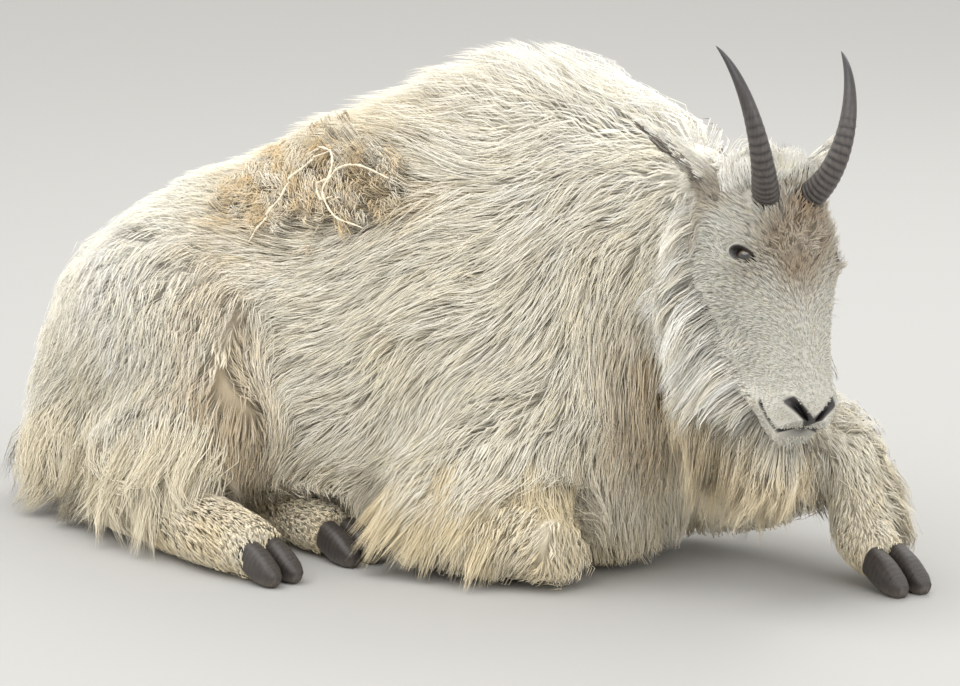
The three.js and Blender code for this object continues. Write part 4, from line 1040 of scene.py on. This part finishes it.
# Old wool that is coming off the back: short, matted, curled tufts of tan down. They have worked loose from the
# undercoat and lie on top of the fleece.
some, deep, leg = rooted(0.0085)
matted = (near(some, (-0.385, -0.13, 0.45), (0.135, 0.10, 0.075))
          + near(some, (-0.20, -0.155, 0.468), (0.085, 0.045, 0.030)))
worn = matted + 0.25 * sway(some, 0.05, 71)[:, 0] + 0.12 * sway(some, 0.02, 73)[:, 0] > 0.55
some, deep = some[worn], np.clip(deep[worn], THIN, FULL)
line = combed(some, rng.uniform(0.018, 0.036, len(some)), deep * 1.05, 1.0, 2.6)
line = line + away(line) * (deep[:, None] * np.array((0, 0.7, 0.5, 0.35, 0.2, 0.1, 0, 0)))[..., None]
down = over(srgb(0.93, 0.84, 0.68), srgb(0.975, 0.94, 0.86),
            0.5 + 0.7 * sway(some, 0.035, 74)[:, 0] + 0.4 * sway(some, 0.012, 75)[:, 0])
coat_piece("shed_wool", "long_coat", some, line, 8, 2, spread=0.0060, gather=0.1, width=0.00065, curl=0.0050,
           tint=down)


# Three strings of old wool hang loose over the flank, twisted and uneven in thickness. One makes a loop. Each
# is carried along a curve that rests on the coat.
STRINGS = (  # in millimetres
    ((-291, -141, 496), (-310, -147, 486), (-327, -155, 473), (-341, -168, 454), (-351, -180, 436),
     (-366, -187, 420), (-377, -194, 403), (-388, -201, 389)),
    ((-334, -140, 485), (-309, -137, 494), (-274, -153, 488), (-270, -169, 471), (-287, -174, 460),
     (-277, -183, 447), (-260, -181, 452)),
    ((-182, -162, 480), (-227, -165, 487), (-261, -167, 477), (-275, -177, 456), (-248, -193, 434),
     (-209, -195, 428)),
)
parts = []
for string in STRINGS:
    t = np.linspace(0, 1, 120)
    middle = through(np.array(string) / 1000, t)
    above_skin = 1.12 * place_on("trunk", middle)[2] + 0.004 + 0.006 * np.sin(math.pi * t)
    middle = lifted(middle, above_skin) + 0.0015 * sway(middle, 0.05, 72)
    ahead = unit(np.gradient(middle, axis=0))
    side = unit(np.cross(ahead, away(middle)))
    turn = ring_of(12)
    thick = (0.0013 * np.sin(math.pi * np.clip(t, 0.02, 0.98)) ** 0.25
             * (1 + 0.25 * np.sin(70 * t) + 0.2 * np.sin(41 * t)))
    thick[[0, -1]] = 0.0001
    uneven = thick[:, None] * (1 + 0.25 * np.sin(3 * turn[None] + 160 * t[:, None]))
    grid = (middle[:, None] + (uneven * np.cos(turn))[..., None] * side[:, None]
            + (uneven * np.sin(turn))[..., None] * np.cross(side, ahead)[:, None])
    parts.append(closed(grid, -1))
points, faces = joined(parts)
strings = piece("wool_strings", points, faces)
tinted(strings, np.broadcast_to(srgb(0.94, 0.89, 0.79), points.shape))
unwrap = strings.data.uv_layers.new(name="OFBake")
row, column = np.divmod(faces.ravel(), len(turn))
unwrap.data.foreach_set("uv", (0.95 + 0.0001 * np.column_stack((row, column))).astype(np.float32).ravel())
strings.data.materials.append(HAIR)


# The fringes: long, shaggy hair that grows from a line over the skin and hangs free. A straight, yellowish
# one falls from the elbow over the folded knee to the floor, one hangs from the buttock, the hock and the shank
# over the hind foot, and a short white one hangs on the outside of the stretched foreleg.
def hung(places, normals, length, fall, stand, unruly):
    """Lines of hair that stand off the skin, sin(1.6 s) of the way out, and then hang, with two soft waves."""
    s = np.linspace(0, 1, 9)[None, :, None]
    fall = unit(fall + 0.16 * sway(places, 0.05, 51))
    line = places[:, None] + length[:, None, None] * (
        fall[:, None] * s + normals[:, None] * stand * np.sin(1.6 * s))
    line = line + unruly * s * (sway(line, 0.11, 52) + 0.4 * sway(line, 0.035, 53))
    line[:, 1:] += (away(line) * np.maximum(0.008 - read(field, line), 0)[..., None])[:, 1:]
    return line


def fringe(name, slot, count, course, scatter, sizes, shortest, most, fall, trail, stand, unruly, **form):
    """A fringe of wisps rooted near a curve, 4 mm over the skin. Sizes are shares of the curve and the lengths
    there; each wisp has its own part of the length, from the shortest up, and at most a part of its height over
    the floor. The way that it falls changes by the trail along the curve."""
    at = rng.uniform(0, 1, count)
    some = lifted(through(course, at) + rng.normal(0, scatter, (count, 3)), 0.004)
    length = np.interp(at, *sizes) * rng.uniform(shortest, 1.05, count)
    line = hung(some, away(some), np.minimum(length, some[:, 2] * most),
                np.array(fall) + at[:, None] * np.array(trail), stand, unruly)
    coat_piece(name, slot, some, line, 14, 2, spread=0.011, **form)


fringe("elbow_fringe", "long_coat", 330,
       ((-0.150, -0.205, 0.150), (-0.100, -0.200, 0.172), (-0.030, -0.195, 0.180), (0.025, -0.175, 0.168),
        (0.060, -0.135, 0.150)),
       (0.006, 0.004, 0.014), ((0, 0.3, 0.6, 0.85, 1), (0.15, 0.19, 0.17, 0.11, 0.06)), 0.7, 1.1,
       (-0.42, -0.26, -1.0), (0.22, 0.10, 0), 0.24, 0.009,
       gather=0.70, width=0.00062, curl=0.004, tip=srgb(0.95, 0.89, 0.75))
for name, count, size, fall, course in (
    ("hock_fringe", 420, 0.150, (0.02, -0.22, -1.0),
     ((-0.735, -0.080, 0.150), (-0.705, -0.170, 0.140), (-0.640, -0.225, 0.140), (-0.560, -0.255, 0.145),
      (-0.480, -0.265, 0.155), (-0.420, -0.255, 0.165))),
    ("forearm_fringe", 150, 0.075, (0.15, 0.15, -1.0),
     ((0.225, 0.150, 0.180), (0.280, 0.150, 0.175), (0.318, 0.135, 0.140), (0.335, 0.120, 0.105))),
):
    fringe(name, "leg_fur", count, course, (0.012, 0.010, 0.026), ((0, 1), (size, size)), 0.6, 1.05,
           fall, (0, 0, 0), 0.30, 0.018, gather=0.55, width=0.00065, curl=0.008, tint=CREAM,
           tip=srgb(0.95, 0.91, 0.81))


# The face: short hair that runs up from the nose, fuzzy and brown between the horns and the eyes, longer on the
# cheeks and the jaw. It leaves the nose pad, the lids and the lips bare.
def normals_of(grid):
    """The outward direction at every point of a grid that closes on itself in its second direction."""
    along = np.gradient(grid, axis=0)
    around = np.roll(grid, -1, 1) - np.roll(grid, 1, 1)
    return unit(np.cross(around, along))


def over_head(spacing):
    """Places strewn over the head, their outward directions, and where they lie on the head's plain form."""
    at = strewn(head_points, head_quads, spacing, rng)
    return mixed(head_points, *at), unit(mixed(head_normals, *at)), mixed(plain, *at)


def leaning(places, out, way, length, lift):
    """Lines of close hair: straight on its way, and off the skin by its length times the lift and sin(1.9 s)."""
    s = np.linspace(0, 1, 5)[None, :, None]
    return places[:, None] + length[:, None, None] * (way[:, None] * s + out[:, None] * lift * np.sin(1.9 * s))


head_normals = normals_of(head_grid).reshape(-1, 3)
places, normals, q = over_head(0.0042)
keep = (bareness(q) < 0.2) & (read(flesh, places) > -0.002)
keep &= (np.hypot(q[:, 0] - HORN["f"], np.abs(q[:, 1]) - HORN["out"]) > 0.014) | (q[:, 2] < 0)
places, normals, q = places[keep], normals[keep], q[keep]
length = np.interp(q[:, 0], (0.0, 0.07, 0.14, 0.2, 0.28, 0.31), (0.030, 0.024, 0.017, 0.012, 0.007, 0.0045))
length = length * (1 + 2.2 * rise_from(q[:, 2], -0.005, -0.06) * rise_from(q[:, 0], 0.28, 0.20))
at_lips = np.exp(-((q[:, 2] - mouth_line(q[:, 0]) - 0.003) / 0.010) ** 2)
length = length * rng.uniform(0.8, 1.2, len(q)) * (1 - 0.75 * at_lips)
fuzzy = np.exp(-((q[:, 0] - 0.10) / 0.05) ** 2 - (q[:, 1] / 0.035) ** 2) * (q[:, 2] > 0.02)
share = np.zeros((len(q), len(BODY)))
share[:, BODY.index("head")] = 1
way = unit(lie(places, normals, share) + 0.30 * sway(places, 0.06, 41)
           + 0.9 * fuzzy[:, None] * sway(places, 0.012, 42))
way = unit(way - normals * (way * normals).sum(-1, keepdims=True))
lift = 0.25 + 0.45 * fuzzy + 0.12 * rng.random(len(q)) + 0.25 * rise_from(q[:, 2], -0.02, -0.07)
line = leaning(places, normals, way, length, lift[:, None, None])
for side, name in ((-1, "right"), (1, "left")):
    here = q[:, 1] * side > 0
    coat_piece(f"face_hair_{name}", "face_fur", places[here], line[here], 3, 1, spread=0.0023, gather=0.25,
               width=0.0006, curl=0.0005)


# The cheeks and the crown: a ruff of longer, white hair that frames the face. It grows behind the jaw line,
# where it fills the angle of the jaw, and between the ears and the horns.
places, normals, q = over_head(0.0066)
free = read(flesh, places) > -0.004
jaw_line = np.interp(q[:, 0], (0, 0.06, 0.12, 0.20, 0.26), (0, -0.025, -0.035, -0.036, -0.050))
jaw = free & (q[:, 0] > -0.005) & (q[:, 0] < 0.255) & (np.abs(q[:, 1]) > 0.006) & (
    q[:, 2] + rng.uniform(0, 0.03, len(q)) < jaw_line)
crown = free & (q[:, 0] < 0.040) & (q[:, 2] > 0.02)
outwards = np.sign(q[:, 1:2]) * L
for name, here, fall, size in (("cheek_hair", jaw, DOWN - 0.22 * AHEAD + 0.28 * outwards[jaw], 0.085),
                               ("crown_hair", crown, -0.9 * F + 0.30 * U, 0.036)):
    some = places[here]
    size = size * np.interp(q[here][:, 0], (0, 0.06, 0.14, 0.20, 0.26), (0.65, 0.9, 1.0, 0.9, 0.45))
    line = hung(some, normals[here], size * rng.uniform(0.7, 1.15, len(some)), fall, 0.42, 0.009)
    coat_piece(name, "face_fur", some, line, 9, 2, spread=0.0060, gather=0.3, width=0.0006, curl=0.0025,
               tint=BRIGHT)


# The beard: long, fine, yellowish wisps that hang from the jaw and the chin. They are longest behind, and each
# closes to a point.
jaw = (q[:, 0] > 0.09) & (normals[:, 2] < 0.3) & (
    q[:, 2] < np.interp(q[:, 0], (0.09, 0.15, 0.20, 0.26, 0.31), (-0.075, -0.066, -0.062, -0.060, -0.056)))
places, normals, q = places[jaw], normals[jaw], q[jaw]
length = np.interp(q[:, 0], (0.09, 0.16, 0.22, 0.31), (0.150, 0.205, 0.175, 0.085))
length = length * rng.uniform(0.7, 1.08, len(q))
line = hung(places, normals, length, np.array((-0.10, 0.03, -1.0)), 0.16, 0.012)
coat_piece("beard_hair", "long_coat", places, line, 12, 2, spread=0.010, gather=0.5, width=0.00062, curl=0.0045,
           tint=CREAM, tip=srgb(0.95, 0.89, 0.76))


# The ears' hair: short, white hair that lies towards the tip. It is brown at the root, and dark grey inside
#  the cup, over the cup's darker skin.
for side, name in ((-1, "right"), (1, "left")):
    grid, t, c, turn, axis, opening = ears[side]
    ear_points, ear_quads = closed(grid)
    outward = unit(c[None, :, None] * np.cross(axis, opening) * 0.7 + turn[None, :, None] * opening)
    spots = strewn(ear_points, ear_quads, 0.0036, rng)
    some, out = mixed(ear_points, *spots), unit(mixed(np.tile(outward[0], (len(t), 1)), *spots))
    at = (some - on_head((EAR["f"], side * EAR["out"], EAR["u"]))) @ axis / EAR["length"]
    some, out, at = some[at > 0.02], out[at > 0.02], at[at > 0.02]
    way = unit(axis + 0.25 * sway(some, 0.03, 61))
    length = np.interp(at, (0, 0.3, 1), (0.016, 0.011, 0.006)) * rng.uniform(0.8, 1.2, len(at))
    inner = ((out @ opening) > 0.2) * rise_from(at, 0.1, 0.25)
    colour = over(BRIGHT, BROWN, 0.55 * rise_from(at, 0.42, 0.08))
    colour = over(colour, srgb(0.42, 0.37, 0.33), 0.85 * inner)
    coat_piece(f"ear_hair_{name}", "face_fur", some, leaning(some, out, way, length, 0.3), 4, 1, spread=0.0020,
               gather=0.2, width=0.0005, curl=0.0005, tint=colour)
